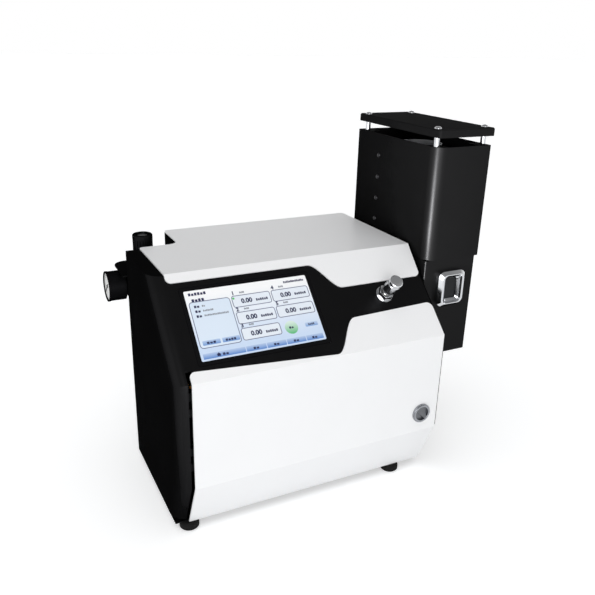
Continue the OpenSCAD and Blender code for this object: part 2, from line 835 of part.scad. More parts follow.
module burner_stem() {
    r = burner_d / 2;
    neck_end = burner_x - 10;
    color(steel) placed() difference() {
        union() {
            translate([burner_x, burner_y, chamber_z - 13]) cylinder(h = 27, r = 14);
            translate([burner_x, burner_y, chamber_z + 13])
                cylinder(h = burner_top - 14 - chamber_z - 13, r = r);
        }
        translate([burner_x, burner_y, chamber_z - 8]) cylinder(h = 60, r = r - 3);
        translate([0, burner_y, chamber_z]) rod_x(neck_end - 20, neck_end, 9 + run_gap);
        translate([0, burner_y, chamber_z]) rod_x(neck_end - 1, burner_x, 6);
    }
}

module burner_head() {
    color(steel) placed() translate([burner_x, burner_y, burner_top - 14])
        difference() {
            union() {
                cylinder(h = 14, r = 14);
                translate([0, 0, 14 - tiny]) cylinder(h = 1.5, r = 11);
            }
            translate([0, 0, -1]) cylinder(h = 11, r = burner_d / 2 - 3);
            for (k = [0:11])
                rotate([0, 0, 30 * k]) translate([4.6, 0, 5]) cylinder(h = 12, r = 0.9);
            translate([0, 0, 5]) cylinder(h = 12, r = 0.9);
            for (z = [3, 6.5])
                translate([0, 0, z]) difference() {
                    cylinder(h = 1.6, r = 15);
                    translate([0, 0, -1]) cylinder(h = 4, r = 12.4);
                }
        }
}

module igniter() {
    rear = housing_y + housing_d - sheet;
    color(polymer) placed() translate([burner_x, 0, burner_top + 6]) {
        rod_y(burner_y + 30, rear, 3.2);
        rod_y(burner_y + 10, burner_y + 31, 1);
        rod_y(rear - 4, rear, 7);
    }
}

module spray_chamber() {
    x0 = side_in - 5 - chamber_len;
    color(polymer) placed() translate([0, burner_y, chamber_z]) difference() {
        union() {
            rod_x(side_in - 5, side_in, chamber_d / 2 + 6);
            rod_x(x0, side_in - 4, chamber_d / 2);
            rod_x(x0 - 4, x0 + tiny, chamber_d / 2 - 5);
            rod_x(side_in - 1, burner_x - 10.5, 9);
        }
        rod_x(x0 + 4, side_in - 6, chamber_d / 2 - 3);
        rod_x(side_in - 8, burner_x, 6);
        rod_x(x0 - 10, x0 + 10, 7 + run_gap);
        translate([20 + x0, 0, -chamber_d / 2 - 1]) cylinder(h = 10, r = 2.5);
    }
}

module nebulizer() {
    x0 = side_in - 9 - chamber_len;
    color(steel) placed() translate([0, burner_y, chamber_z]) {
        rod_x(x0 - 16, x0, 10);
        rod_x(x0 - tiny, x0 + 10, 7);
        rod_x(x0 - 22, x0 - 15, 3);
        rod_x(x0 - 40, x0 - 21, 0.9);
        translate([x0 - 8, 0, 8]) cylinder(h = 14, r = 3);
    }
}

module drain_trap() {
    x = side_in + 15 - chamber_len;
    color(polymer) placed() translate([x, burner_y, 0]) {
        translate([0, 0, pan_top]) cylinder(h = 62, r = 17);
        translate([0, 0, pan_top + 61]) cylinder(h = 10, r = 12);
        translate([0, 0, pan_top + 70])
            cylinder(h = chamber_z - chamber_d / 2 - pan_top - 70, r = 4);
    }
}

/* ---- Optics ---- */

module optics_shelf() {
    z = optic_z - 26;
    color(zinc) placed() {
        block([body_w - 122, burner_y - 34, z], [side_in, burner_y + 34, z + 2]);
        block([side_in - 2, burner_y - 34, z - 4], [side_in, burner_y + 34, z + 1]);
    }
}

module filter_block() {
    x0 = body_w - 118;
    color(black) placed() difference() {
        block([x0, burner_y - 30, optic_z - 24], [x0 + 100, burner_y + 30, optic_z + 24]);
        translate([0, burner_y, optic_z]) rod_x(x0 + 20, x0 + 101, 13);
        for (k = [0:4])
            translate([x0 + 14 + 18 * k, 0, optic_z])
                rod_y(burner_y + 16, burner_y + 31, 7.5);
    }
}

module lens_tube() {
    x0 = body_w - 18;
    color(black) placed() translate([0, burner_y, optic_z]) difference() {
        union() {
            rod_x(x0, body_w + 14, lens_tube_d / 2);
            rod_x(x0 - 8, x0 + tiny, 13 - run_gap);
        }
        rod_x(x0 - 9, body_w + 15, 11);
        rod_x(body_w + 8, body_w + 15, 14);
    }
}

module collector_lens() {
    color(glass_tint) placed() translate([body_w + 8, burner_y, optic_z])
        rotate([0, 90, 0]) rotate_extrude()
            polygon(concat([[0, 0], [13.9, 0]],
                [for (k = [0:8]) [13.9 * cos(90 * k / 8), 1.5 + 3.5 * sin(90 * k / 8)]]));
}

module colour_filters() {
    x0 = body_w - 118;
    color([0.5, 0.35, 0.7]) placed() for (k = [0:4])
        translate([x0 + 14 + 18 * k, 0, optic_z])
            rod_y(burner_y + 16, burner_y + 20, 7.4);
}

module detector_board() {
    x0 = body_w - 118;
    y0 = burner_y + 30;
    color(board_green) placed() {
        block([x0, y0, optic_z - 22], [x0 + 100, y0 + 1.6, optic_z + 22]);
        for (k = [0:4])
            translate([x0 + 14 + 18 * k, 0, optic_z]) rod_y(y0 - 6, y0 + tiny, 5);
        block([x0 + 40, y0 + 1.5, optic_z - 16], [x0 + 60, y0 + 8, optic_z - 8]);
    }
}

/* ---- Electrics and gas inside ---- */

module control_board() {
    z = foot_h + 9.5;
    color(board_green) placed() {
        block([92, 58, z], [228, 134, z + 1.6]);
        block([120, 80, z + 1.5], [148, 108, z + 4]);
        block([170, 84, z + 1.5], [190, 98, z + 3.5]);
        for (k = [0:3])
            block([100 + 26 * k, 120, z + 1.5], [120 + 26 * k, 131, z + 11]);
        for (k = [0:2])
            translate([206, 70 + 14 * k, z + 1.5]) cylinder(h = 12, r = 5);
    }
}

module power_supply() {
    color(zinc) placed() difference() {
        block([supply_x, 176, pan_top], [supply_x + supply_w, 240, pan_top + 38]);
        for (k = [0:11])
            block([supply_x + 10 + 10 * k, 188, pan_top + 36],
                [supply_x + 14 + 10 * k, 228, pan_top + 40]);
    }
}

module fuel_solenoid() {
    color(brass) placed() translate([112, 190, pan_top]) {
        block([-16, -12, 0], [16, 12, 20]);
        translate([0, 0, 19]) cylinder(h = 32, r = 11);
        translate([0, 0, 50]) cylinder(h = 5, r = 5);
        translate([0, 0, 10]) rod_y(12 - tiny, 30, 4);
    }
}

module ignition_coil() {
    color(black) placed() {
        block([24, 100, pan_top], [66, 140, pan_top + 34]);
        translate([45, 120, pan_top + 33]) cylinder(h = 14, r = 7);
        translate([45, 120, pan_top + 46]) cylinder(h = 4, r = 3);
    }
}

/* ---- Rear services ---- */

module mains_inlet() {
    color(black) placed() translate([inlet_x, rear_face, inlet_z]) difference() {
        union() {
            along_y(0, 2.5) rounded(50, 31, 4);
            along_y(-25, tiny) rounded(27, 19.5, 3);
        }
        difference() {
            along_y(-18, 4) polygon([[-12, -8], [12, -8], [12, 3.5], [7.5, 8],
                [-7.5, 8], [-12, 3.5]]);
            for (p = [[-7, -2], [0, 2], [7, -2]])
                block([p[0] - 1, -19, p[1] - 2.5], [p[0] + 1, -5, p[1] + 2.5]);
        }
        for (x = [-20, 20])
            translate([x, 0, 0]) rod_y(-1, 4, 1.6);
    }
}

module switch_bezel() {
    color(black) placed() translate([inlet_x - 50, rear_face, inlet_z]) difference() {
        union() {
            along_y(0, 2) rounded(17, 24, 2);
            along_y(-16, tiny) rounded(13, 19, 1);
        }
        block([-5.3, -13, -8.6], [5.3, 4, 8.6]);
        translate([0, -3, 0]) rod_x(-6.3, 6.3, 1.2 + run_gap);
    }
}

module rocker() {
    color(black) placed() translate([inlet_x - 50, rear_face - 3, inlet_z])
        rotate([10, 0, 0]) {
            intersection() {
                rod_x(-5, 5, 8.4);
                along_x(-5, 5) polygon([[-6, -9], [6.2, -9], [4, 0], [6.2, 9], [-6, 9]]);
            }
            rod_x(-6.1, 6.1, 1.2);
        }
}

module fan_frame() {
    y1 = rear_face - sheet;
    color(black) placed() translate([fan_x, y1, fan_z]) difference() {
        union() {
            difference() {
                along_y(-fan_t, 0) rounded(fan_w, fan_w, 3);
                rod_y(-fan_t - 1, 1, fan_w / 2 - 2);
            }
            intersection() {
                rod_y(-fan_t, -fan_t + 2.5, fan_w / 2 - 1);
                union() {
                    rod_y(-fan_t, -fan_t + 2.5, 15);
                    for (a = [0, 90])
                        rotate([0, a + 20, 0])
                            block([-fan_w / 2, -fan_t, -2], [fan_w / 2, -fan_t + 2.5, 2]);
                }
            }
            rod_y(-fan_t, -fan_t + 10, 4);
        }
        rod_y(-fan_t + 1.5, 1, 1.5 + run_gap);
        for (x = [-1, 1], z = [-1, 1])
            translate([x * (fan_w / 2 - 4.25), 0, z * (fan_w / 2 - 4.25)])
                rod_y(-fan_t - 1, 1, 2);
    }
}

module fan_rotor() {
    y1 = rear_face - sheet;
    tip = fan_w / 2 - 3;
    color([0.14, 0.14, 0.15]) placed() translate([fan_x, y1, fan_z]) {
        rod_y(-fan_t + 2, -3, 1.5);
        difference() {
            rod_y(-fan_t + 3.5, -2, 15);
            rod_y(-fan_t + 3, -4, 13.5);
        }
        intersection() {
            difference() {
                rod_y(-fan_t + 3.5, -2, tip);
                rod_y(-fan_t + 3, -1, 14.5);
            }
            for (k = [0:blades - 1])
                rotate([0, 360 / blades * k, 0]) translate([0, -fan_t / 2, 0])
                    rotate([0, 0, 38]) block([-14, -0.8, 10], [14, 0.8, 45]);
        }
    }
}

module fan_guard() {
    wire = 1;
    hole = fan_w / 2 - 4.25;
    arm = hole * sqrt(2) - 2;
    color(chrome) placed() translate([fan_x, rear_face, fan_z]) rotate([-90, 0, 0]) {
        for (r = [10, 19, 28, 37])
            translate([0, 0, wire]) difference() {
                cylinder(h = 2 * wire, r = r + wire);
                translate([0, 0, -1]) cylinder(h = 2 * wire + 2, r = r - wire);
            }
        for (a = [45, 135])
            rotate([0, 0, a]) block([-arm, -wire, 0], [arm, wire, 1.5 * wire]);
        for (x = [-hole, hole], y = [-hole, hole])
            translate([x, y, 0]) {
                cylinder(h = 2, r = 4);
                translate([0, 0, 1.9]) cylinder(h = 1.6, r = 3);
            }
    }
}

module gas_nipples() {
    color(brass) placed() for (x = [96, 126])
        translate([x, rear_face, inlet_z]) rotate([-90, 0, 0]) difference() {
            tail = nipple_len + skin;
            union() {
                translate([0, 0, -12]) cylinder(h = 13, r = 5);
                hex(8, 5);
                rotate_extrude() polygon([[0, 0], [4, 0], [4, tail - 7.5],
                    [3.5, tail - 7], [3.5, tail - 6], [4, tail - 5.5],
                    [4, tail - 4], [3.2, tail], [0, tail]]);
                translate([0, 0, -sheet - 5]) hex(8, 5);
            }
            translate([0, 0, -13]) cylinder(h = tail + 20, r = nipple_bore / 2);
        }
}

/* ---- Air regulator ---- */

module regulator_bracket() {
    hole = 15 + seat_gap;
    color(black) placed() difference() {
        union() {
            translate([0, 0, reg_z]) linear_extrude(height = 2)
                polygon(concat([[-5, side_d + 2], [1, side_d + 2], [1, notch_y]],
                    [[reg_x + 30, notch_y]],
                    arc(reg_x + 22, reg_y + 18, 8, 0, 90),
                    arc(11, reg_y + 10, 16, 90, 180)));
            block([8, notch_y, reg_z - 40], [54, notch_y + 2, reg_z + 1]);
        }
        translate([reg_x, reg_y, reg_z - 5]) cylinder(h = 10, r = hole);
        for (x = [14, 48])
            translate([x, 0, reg_z - 30]) rod_y(notch_y - 1, notch_y + 3, 2.7);
    }
}

module regulator_body() {
    w = reg_w / 2;
    low = reg_z - 42;
    color(black) placed() translate([reg_x, reg_y, 0]) difference() {
        union() {
            translate([0, 0, low]) linear_extrude(height = 42) rounded(2 * w, 2 * w, 5);
            translate([0, 0, low + 10]) linear_extrude(height = 24)
                square([2 * w, 20], center = true);
        }
        // Air ports at the rear and the right, and the bonnet's seat
        translate([0, 0, gauge_z]) rod_y(w - 10, w + 1, 5.7);
        translate([0, 0, gauge_z]) rod_x(w - 10, w + 1, 5.7);
        translate([0, 0, reg_z - 3]) cylinder(h = 5, r = 15 + run_gap);
    }
}

module regulator_bonnet() {
    color(black) placed() translate([reg_x, reg_y, 0]) difference() {
        union() {
            translate([0, 0, reg_z - 3]) cylinder(h = 8, r = 15);
            translate([0, 0, reg_top]) cylinder(h = 6, r = 20, $fn = 12);
            translate([0, 0, reg_top + 5]) cylinder(h = 9, r = 16);
            translate([0, 0, reg_top + 14 - tiny]) cylinder(h = 3, r1 = 16, r2 = 10);
            translate([0, 0, reg_top + 16]) cylinder(h = 3.5, r = 9);
        }
        translate([0, 0, reg_z + 4]) cylinder(h = 60, r = 4 + run_gap);
    }
}

module regulator_spindle() {
    web = reg_knob_top - 7;
    color(steel) placed() translate([reg_x, reg_y, 0]) {
        translate([0, 0, reg_z + 6]) cylinder(h = web + reg_lift - reg_z - 5.5, r = 4);
        translate([0, 0, web + reg_lift + 0.3]) cylinder(h = 1.8, r = 6.5);
    }
}

module regulator_knob() {
    r = reg_knob_d / 2;
    low = reg_top + 20;
    color(black) placed() translate([reg_x, reg_y, 0]) difference() {
        union() {
            rotate_extrude() polygon([[0, low], [r - 0.5, low],
                [r - 0.5, reg_knob_top - 6], [r, reg_knob_top - 6],
                [r, reg_knob_top - 1], [r - 1, reg_knob_top], [0, reg_knob_top]]);
            for (k = [0:23])
                rotate([0, 0, 15 * k]) translate([r - 0.9, 0, low + 0.5])
                    cylinder(h = reg_knob_top - 6 - low, r = 0.8, $fn = 8);
        }
        translate([0, 0, reg_knob_top - 7]) cylinder(h = 10, r = r - 4.2);
        translate([0, 0, low - 1]) cylinder(h = 40, r = 4 + run_gap);
        translate([0, 0, low - 1]) cylinder(h = reg_knob_top - 8 - low, r = 11.2);
    }
}

module regulator_bowl() {
    top = reg_z - 42;
    color(black) placed() translate([reg_x, reg_y, top]) rotate_extrude()
        polygon(concat([[0, 0], [19, 0], [19, -50]], arc(9, -50, 10, 0, -90),
            [[6, -60], [6, -70], [0, -70]]));
}

module gauge_case() {
    r = gauge_d / 2;
    x0 = -gauge_out;
    x1 = reg_x - reg_w / 2;
    color(black) placed() translate([0, reg_y, gauge_z]) difference() {
        union() {
            rod_x(x0, x0 + 23, r - 0.5);
            rod_x(x0, x0 + 3, r);
            rod_x(x0 + 22, x1, 6);
        }
        rod_x(x0 - 1, x0 + 2.6, r - 1.8);
        rod_x(x0 + 2, x0 + 8, 2);
    }
}

module gauge_dial() {
    color(white) placed() translate([0, reg_y, gauge_z]) difference() {
        rod_x(-gauge_out + 1.6, -gauge_out + 2.6, gauge_d / 2 - 2);
        rod_x(-gauge_out, -gauge_out + 6, 0.8 + run_gap);
    }
}

module gauge_needle() {
    x0 = -gauge_out + 0.6;
    color([0.75, 0.1, 0.08]) placed() translate([0, reg_y, gauge_z]) {
        rod_x(x0, x0 + 0.7, 2.2);
        rod_x(x0, x0 + 4.5, 0.8);
        rotate([-135, 0, 0]) along_x(x0, x0 + 0.6)
            polygon([[-0.8, -5], [0.8, -5], [0.3, 13], [-0.3, 13]]);
    }
}

housing_frame();
base_pan();
rear_panel();
top_cover();
front_door();
door_hinge_leaves();
frame_hinge_leaves();
hinge_pins();
latch_ring();
latch_plug();
latch_cam();
feet();
touch_glass();
lcd_module();
display_bracket();
valve_body();
valve_nut();
valve_stem();
valve_knob();
burner_housing();
chimney_shell();
chimney_cap();
cap_posts();
cap_screws();
side_screws();
window_bezel();
window_glass();
heat_liner();
burner_stem();
burner_head();
igniter();
spray_chamber();
nebulizer();
drain_trap();
optics_shelf();
filter_block();
lens_tube();
collector_lens();
colour_filters();
detector_board();
control_board();
power_supply();
fuel_solenoid();
ignition_coil();
mains_inlet();
switch_bezel();
rocker();
fan_frame();
fan_rotor();
fan_guard();
gas_nipples();
regulator_bracket();
regulator_body();
regulator_bonnet();
regulator_spindle();
regulator_knob();
regulator_bowl();
gauge_case();
gauge_dial();
gauge_needle();
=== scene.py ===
"""A bench flame photometer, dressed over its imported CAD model."""

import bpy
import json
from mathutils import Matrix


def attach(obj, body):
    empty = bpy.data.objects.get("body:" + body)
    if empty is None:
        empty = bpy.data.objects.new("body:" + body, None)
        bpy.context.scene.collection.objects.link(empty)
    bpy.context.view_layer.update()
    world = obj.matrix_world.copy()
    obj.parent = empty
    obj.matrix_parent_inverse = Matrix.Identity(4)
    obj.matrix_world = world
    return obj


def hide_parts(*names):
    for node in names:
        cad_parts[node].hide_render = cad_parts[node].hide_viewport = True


bl_info = {
    "name": "Bench flame photometer",
    "version": (1, 0, 0),
    "blender": (4, 5, 0),
    "location": "View3D > Sidebar > Flame photometer",
    "description": "Finishes, screen picture and small fittings of a bench flame photometer",
    "category": "Object",
}

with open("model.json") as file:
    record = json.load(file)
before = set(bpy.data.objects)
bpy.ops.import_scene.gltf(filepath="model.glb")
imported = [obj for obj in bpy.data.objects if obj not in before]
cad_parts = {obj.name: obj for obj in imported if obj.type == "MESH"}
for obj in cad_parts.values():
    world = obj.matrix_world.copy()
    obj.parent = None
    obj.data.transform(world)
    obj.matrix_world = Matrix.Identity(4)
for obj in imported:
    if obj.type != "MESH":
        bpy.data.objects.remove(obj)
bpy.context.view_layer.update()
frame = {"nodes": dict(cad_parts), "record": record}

import json
import math

import bmesh
import bpy
from bpy.props import FloatProperty, FloatVectorProperty, IntProperty, PointerProperty
from mathutils import Matrix, Vector

MM = 0.001

# Corner of the body from which the lengths below run, as in the model's own frame
BODY_X = -211.0
BODY_Y = -145.75
HIGH_BEND = 210.0
CONSOLE = math.radians(46)
SKIN = 2.3

# The camera that took the picture, in the row frame, and its turn in degrees
CAMERA_PLACE = (-0.386533, -0.768796, 0.562754)
CAMERA_YAW = 26.881
CAMERA_PITCH = -21.211
CAMERA_ROLL = 1.59
FOCAL_PX = 685.953
FRAME_PX = 595
SENSOR_MM = 36.0

# Lower left corner of the screen's picture on the console, and its size
PICTURE_X, PICTURE_UP, PICTURE_W, PICTURE_H = 36.0, 24.0, 154.0, 86.0

# Heights of the picture's layers above the glass, a layer's own, and a figure's half
PAPER_LEVEL, PANE_LEVEL, LINE_LEVEL, INK_LEVEL = 0.02, 0.08, 0.14, 0.20
LAYER = 0.05
FIGURE_DEPTH = 0.02

# The window's middle across and up, the valve's across and up the console, the dial's centre
WINDOW_AXIS = (397.25, 247.5)
WINDOW_Y = 56.8
VALVE = (288.0, 68.0)
GAUGE = (-20.0, 236.0, 246.0)
GAUGE_FACE = 1.6

# Where screws and pins sit
REAR_PANEL_Y = 270.7
REAR_SCREWS_X = (78, 210, 346)
REAR_SCREWS_Z = (24, 285)
FOOT_SCREWS = ((20, 36), (308, 36), (22, 178), (318, 250))
INLET_SCREWS = ((298, 273.2, 60), (338, 273.2, 60))
BRACKET_SCREWS = ((14, 209, 238), (48, 209, 238))
CHIP_PINS_X = range(121, 148, 3)
CHIP_PINS_Y = (78.4, 109.6)
CHIP_PINS_Z = 21.1

# Ribs of the fuel knob: their circle's radius, where they start, and one rib's size
RIB_CIRCLE = 8.35 * MM
RIB_START = 14.8 * MM
RIB_SIZE = (0.0005, 0.00045, 0.0125)

# Marks of the gauge, in millimetres and degrees
MARK_CIRCLE = 14.6
MARK_SIZE = (2.4, 0.28, 0.06)
MARK_START, MARK_SWEEP = 225, 270

# Rounding of small pieces' edges, in metres
THIN_EDGE = 0.00015
FINE_EDGE = 0.0002
SOFT_EDGE = 0.0003
MOULDED_EDGE = 0.0004
CAST_EDGE = 0.0006

# Degrees up to which faces merge, shading stays smooth and edges stay unrounded
FLAT_ANGLE, SMOOTH_ANGLE, EDGE_ANGLE = 0.6, 32, 38

# Scale of the mottling per metre, depth of the relief in metres, roughness of a clear coat
PATCHES = 22.0
RELIEF = 0.0002
COAT_ROUGH = 0.12

# The floor, the heights between which the studio's dome darkens, and the sun lamps
FLOOR_SIZE = 30
FLOOR_GLOW = 0.42
HORIZON, OVERHEAD = 0.12, 0.75
KEY_AIM, KEY_ANGLE = (0.42, 0.84, -0.36), 25
FILL_AIM, FILL_ANGLE = (0.12, 0.15, -0.97), 60

# Each soft lamp's size, place and target
SOFT_BOX = ((1.4, 0.6), (-0.75, -1.45, 0.32), (0.15, 0, 0.28))
STRIP = ((0.10, 0.24), (-0.34, -0.37, 0.17), (0.16, -0.10, 0.36))


# ---------------------------------------------------------------- sizes

class StageSettings(bpy.types.PropertyGroup):
    """The floor, the world and the lamps"""
    floor: FloatVectorProperty(name="Floor", description="Colour of the floor",
                               subtype="COLOR", default=(0.86, 0.87, 0.88))
    world: FloatProperty(name="World", description="Level of the world's light", default=0.36)
    key: FloatProperty(name="Key lamp", description="Strength of the front lamp", default=0.75)
    fill: FloatProperty(name="Fill lamp", description="Strength of the lamp above", default=0.80)
    box: FloatProperty(name="Soft box", description="Power of the low soft box in watts",
                       default=8.0)
    strip: FloatProperty(name="Strip", description="Power of the strip on the tower in watts",
                         default=9.0)
    zenith: FloatProperty(name="Zenith", description="Level of the studio overhead in gloss",
                          default=0.3)


class FinishSettings(bpy.types.PropertyGroup):
    """Colours of the main finishes"""
    black: FloatVectorProperty(name="Black coat", description="Colour of the black powder coat",
                               subtype="COLOR", default=(0.0145, 0.0145, 0.0152))
    satin: FloatVectorProperty(name="Tower coat", description="Colour of the tower's coat",
                               subtype="COLOR", default=(0.018, 0.018, 0.0185))
    white: FloatVectorProperty(name="White coat", description="Colour of the white powder coat",
                               subtype="COLOR", default=(0.86, 0.865, 0.875))
    grain: FloatProperty(name="Coat grain", description="Grain of the coats per metre",
                         default=1500.0)
    edge: FloatProperty(name="Edge", description="Rounding of the sheet's edges",
                        unit="LENGTH", default=0.00045, precision=5)


class ScreenSettings(bpy.types.PropertyGroup):
    """The picture on the screen"""
    glow: FloatProperty(name="Glow", description="Light given off by the picture", default=0.08)
    line: FloatProperty(name="Line", description="Width of the frames' lines, in millimetres",
                        default=0.85)
    ink: FloatVectorProperty(name="Ink", description="Colour of the figures", subtype="COLOR",
                             default=(0.012, 0.016, 0.075))


class DetailSettings(bpy.types.PropertyGroup):
    """Counts and sizes of the repeated details"""
    gauge_marks: IntProperty(name="Gauge marks", description="Marks round the gauge", default=41)
    knob_ribs: IntProperty(name="Knob ribs", description="Ribs round the fuel knob", default=48)
    screw_head: FloatProperty(name="Screw head", description="Radius of a panel screw's head",
                              unit="LENGTH", default=0.0027, precision=5)


# ---------------------------------------------------------------- places

def spot(x, y, z):
    """A point given in the body's millimetres, in the row frame."""
    return Vector(((x + BODY_X) * MM, (y + BODY_Y) * MM, z * MM))


def on_console(x, up, out):
    """A point across, up and out of the sloped console."""
    return spot(x, up * math.sin(CONSOLE) - out * math.cos(CONSOLE),
                HIGH_BEND + up * math.cos(CONSOLE) + out * math.sin(CONSOLE))


def on_screen(across, down, out=0.0):
    """A point of the picture, from 0 to 1 across and down."""
    return on_console(PICTURE_X + across * PICTURE_W,
                      PICTURE_UP + (1 - down) * PICTURE_H, out - SKIN)


# ---------------------------------------------------------------- finishes

def links(material):
    """A material's nodes and links."""
    tree = material.node_tree
    return tree.nodes, tree.links


def add(nodes, kind, **values):
    """A new node with these settings."""
    node = nodes.new(kind)
    for key, value in values.items():
        setattr(node, key, value)
    return node


def finish(name, colour, metal=0.0, rough=0.4, spread=0.06, grain=1200.0, depth=0.04,
           tint=0.05, brushed=None, coat=0.0, specular=0.5, glow=0.0, clear=0.0, rim=1.0):
    """A finish with mottled colour, varied gloss and fine relief, in object coordinates."""
    name += "_finish"
    made = bpy.data.materials.get(name)
    if made:
        return made
    material = bpy.data.materials.new(name)
    material.use_nodes = True
    nodes, join = links(material)
    shader = nodes["Principled BSDF"]
    shader.inputs["Metallic"].default_value = metal
    shader.inputs["Specular IOR Level"].default_value = specular
    shader.inputs["Coat Weight"].default_value = coat
    shader.inputs["Coat Roughness"].default_value = COAT_ROUGH
    shader.inputs["Specular Tint"].default_value = (rim, rim, rim, 1)
    shader.inputs["Transmission Weight"].default_value = clear
    place = add(nodes, "ShaderNodeTexCoord")
    stretch = add(nodes, "ShaderNodeMapping")
    stretch.inputs["Scale"].default_value = brushed or (1, 1, 1)
    join.new(place.outputs["Object"], stretch.inputs["Vector"])
    patches = add(nodes, "ShaderNodeTexNoise")
    patches.inputs["Scale"].default_value = PATCHES
    patches.inputs["Detail"].default_value = 4.0
    join.new(place.outputs["Object"], patches.inputs["Vector"])
    shades = add(nodes, "ShaderNodeMix", data_type="RGBA")
    shades.inputs["A"].default_value = (*[c * (1 - tint) for c in colour[:3]], 1)
    shades.inputs["B"].default_value = (*[min(1, c * (1 + tint)) for c in colour[:3]], 1)
    join.new(patches.outputs["Fac"], shades.inputs["Factor"])
    join.new(shades.outputs["Result"], shader.inputs["Base Color"])
    fine = add(nodes, "ShaderNodeTexNoise")
    fine.inputs["Scale"].default_value = grain
    fine.inputs["Detail"].default_value = 2.0
    join.new(stretch.outputs["Vector"], fine.inputs["Vector"])
    gloss = add(nodes, "ShaderNodeMapRange")
    gloss.inputs["To Min"].default_value = max(0.02, rough - spread)
    gloss.inputs["To Max"].default_value = min(1.0, rough + spread)
    join.new((fine if brushed else patches).outputs["Fac"], gloss.inputs["Value"])
    join.new(gloss.outputs["Result"], shader.inputs["Roughness"])
    relief = add(nodes, "ShaderNodeBump")
    relief.inputs["Strength"].default_value = depth
    relief.inputs["Distance"].default_value = RELIEF
    join.new(fine.outputs["Fac"], relief.inputs["Height"])
    join.new(relief.outputs["Normal"], shader.inputs["Normal"])
    if glow:
        join.new(shades.outputs["Result"], shader.inputs["Emission Color"])
        shader.inputs["Emission Strength"].default_value = glow
    return material


def fading(name, low, high, start, end, glow):
    """A lit finish that fades up the console from one colour to another."""
    material = finish(name, low, rough=0.22, grain=600.0, depth=0.0, glow=glow)
    nodes, join = links(material)
    shader = nodes["Principled BSDF"]
    place = add(nodes, "ShaderNodeTexCoord")
    along = add(nodes, "ShaderNodeVectorMath", operation="DOT_PRODUCT")
    upward = Vector((0, math.sin(CONSOLE), math.cos(CONSOLE)))
    along.inputs[1].default_value = upward
    join.new(place.outputs["Object"], along.inputs[0])
    reach = add(nodes, "ShaderNodeMapRange")
    reach.inputs["From Min"].default_value = start.dot(upward)
    reach.inputs["From Max"].default_value = end.dot(upward)
    join.new(along.outputs["Value"], reach.inputs["Value"])
    ramp = add(nodes, "ShaderNodeMix", data_type="RGBA")
    ramp.inputs["A"].default_value = (*low, 1)
    ramp.inputs["B"].default_value = (*high, 1)
    join.new(reach.outputs["Result"], ramp.inputs["Factor"])
    join.new(ramp.outputs["Result"], shader.inputs["Base Color"])
    join.new(ramp.outputs["Result"], shader.inputs["Emission Color"])
    return material


def black_coat():
    s = bpy.context.scene.photometer_finish
    return finish("black_powder_coat", s.black, metal=0.78, rough=0.34, spread=0.04,
                  grain=s.grain, depth=0.10, tint=0.12, specular=0.0, rim=0.09)


def tower_coat():
    s = bpy.context.scene.photometer_finish
    return finish("black_satin_coat", s.satin, metal=0.9, rough=0.37, spread=0.03,
                  grain=s.grain, depth=0.06, tint=0.08, specular=0.0, rim=0.0)


def cap_coat():
    s = bpy.context.scene.photometer_finish
    return finish("black_cap_coat", s.satin, metal=0.35, rough=0.4, spread=0.03,
                  grain=s.grain, depth=0.08, tint=0.08, specular=0.0, rim=0.0)


def white_coat():
    s = bpy.context.scene.photometer_finish
    return finish("white_powder_coat", s.white, rough=0.42, spread=0.04, grain=s.grain,
                  depth=0.10, tint=0.012, specular=0.4)


def chrome():
    return finish("polished_chrome", (0.64, 0.65, 0.67), metal=1, rough=0.12, spread=0.04,
                  grain=900, depth=0.01, tint=0.02)


def steel():
    return finish("brushed_stainless", (0.60, 0.61, 0.63), metal=1, rough=0.32, spread=0.09,
                  grain=700, depth=0.05, brushed=(1, 8, 0.2))


def zinc():
    return finish("zinc_sheet", (0.58, 0.60, 0.63), metal=1, rough=0.42, spread=0.1,
                  grain=300, depth=0.03, tint=0.1)


def brass():
    return finish("turned_brass", (0.72, 0.53, 0.24), metal=1, rough=0.27, spread=0.07,
                  grain=800, depth=0.04, tint=0.07)


def nickel():
    return finish("nickel_plate", (0.66, 0.65, 0.62), metal=1, rough=0.2, spread=0.05,
                  grain=900, depth=0.02, tint=0.03)


def blackened():
    return finish("blackened_steel", (0.045, 0.045, 0.048), metal=1, rough=0.36, spread=0.06,
                  grain=900, depth=0.04, tint=0.08)


def rubber():
    return finish("foot_rubber", (0.010, 0.010, 0.010), rough=0.72, grain=2200, depth=0.25,
                  specular=0.08)


def plastic(name="black_plastic", colour=(0.010, 0.010, 0.011), rough=0.45):
    return finish(name, colour, metal=0.75, rough=rough, grain=1800, depth=0.12, tint=0.08,
                  specular=0.0, rim=0.04)


def polymer():
    return finish("white_polymer", (0.74, 0.75, 0.73), rough=0.35, grain=500, depth=0.03)


def board():
    return finish("circuit_board", (0.018, 0.11, 0.045), rough=0.33, grain=900, depth=0.06,
                  tint=0.25, coat=0.3)


def clear_glass():
    return finish("clear_glass", (0.95, 0.98, 1.0), rough=0.04, spread=0.02, depth=0.0,
                  tint=0.0, clear=1.0)


# ---------------------------------------------------------------- making pieces

def put(name, mesh, material, body):
    """Shows a mesh as a finished piece that rides on a body."""
    mesh.name = name
    mesh.materials.clear()
    mesh.materials.append(material)
    mesh.shade_smooth()
    mesh.set_sharp_from_angle(angle=math.radians(SMOOTH_ANGLE))
    piece = bpy.data.objects.new(name, mesh)
    bpy.context.scene.collection.objects.link(piece)
    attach(piece, body)
    return piece


def from_shape(name, shape, material, body):
    """Shows a bmesh as a finished piece, with its faces turned outwards."""
    bmesh.ops.recalc_face_normals(shape, faces=shape.faces)
    mesh = bpy.data.meshes.new(name)
    shape.to_mesh(mesh)
    shape.free()
    return put(name, mesh, material, body)


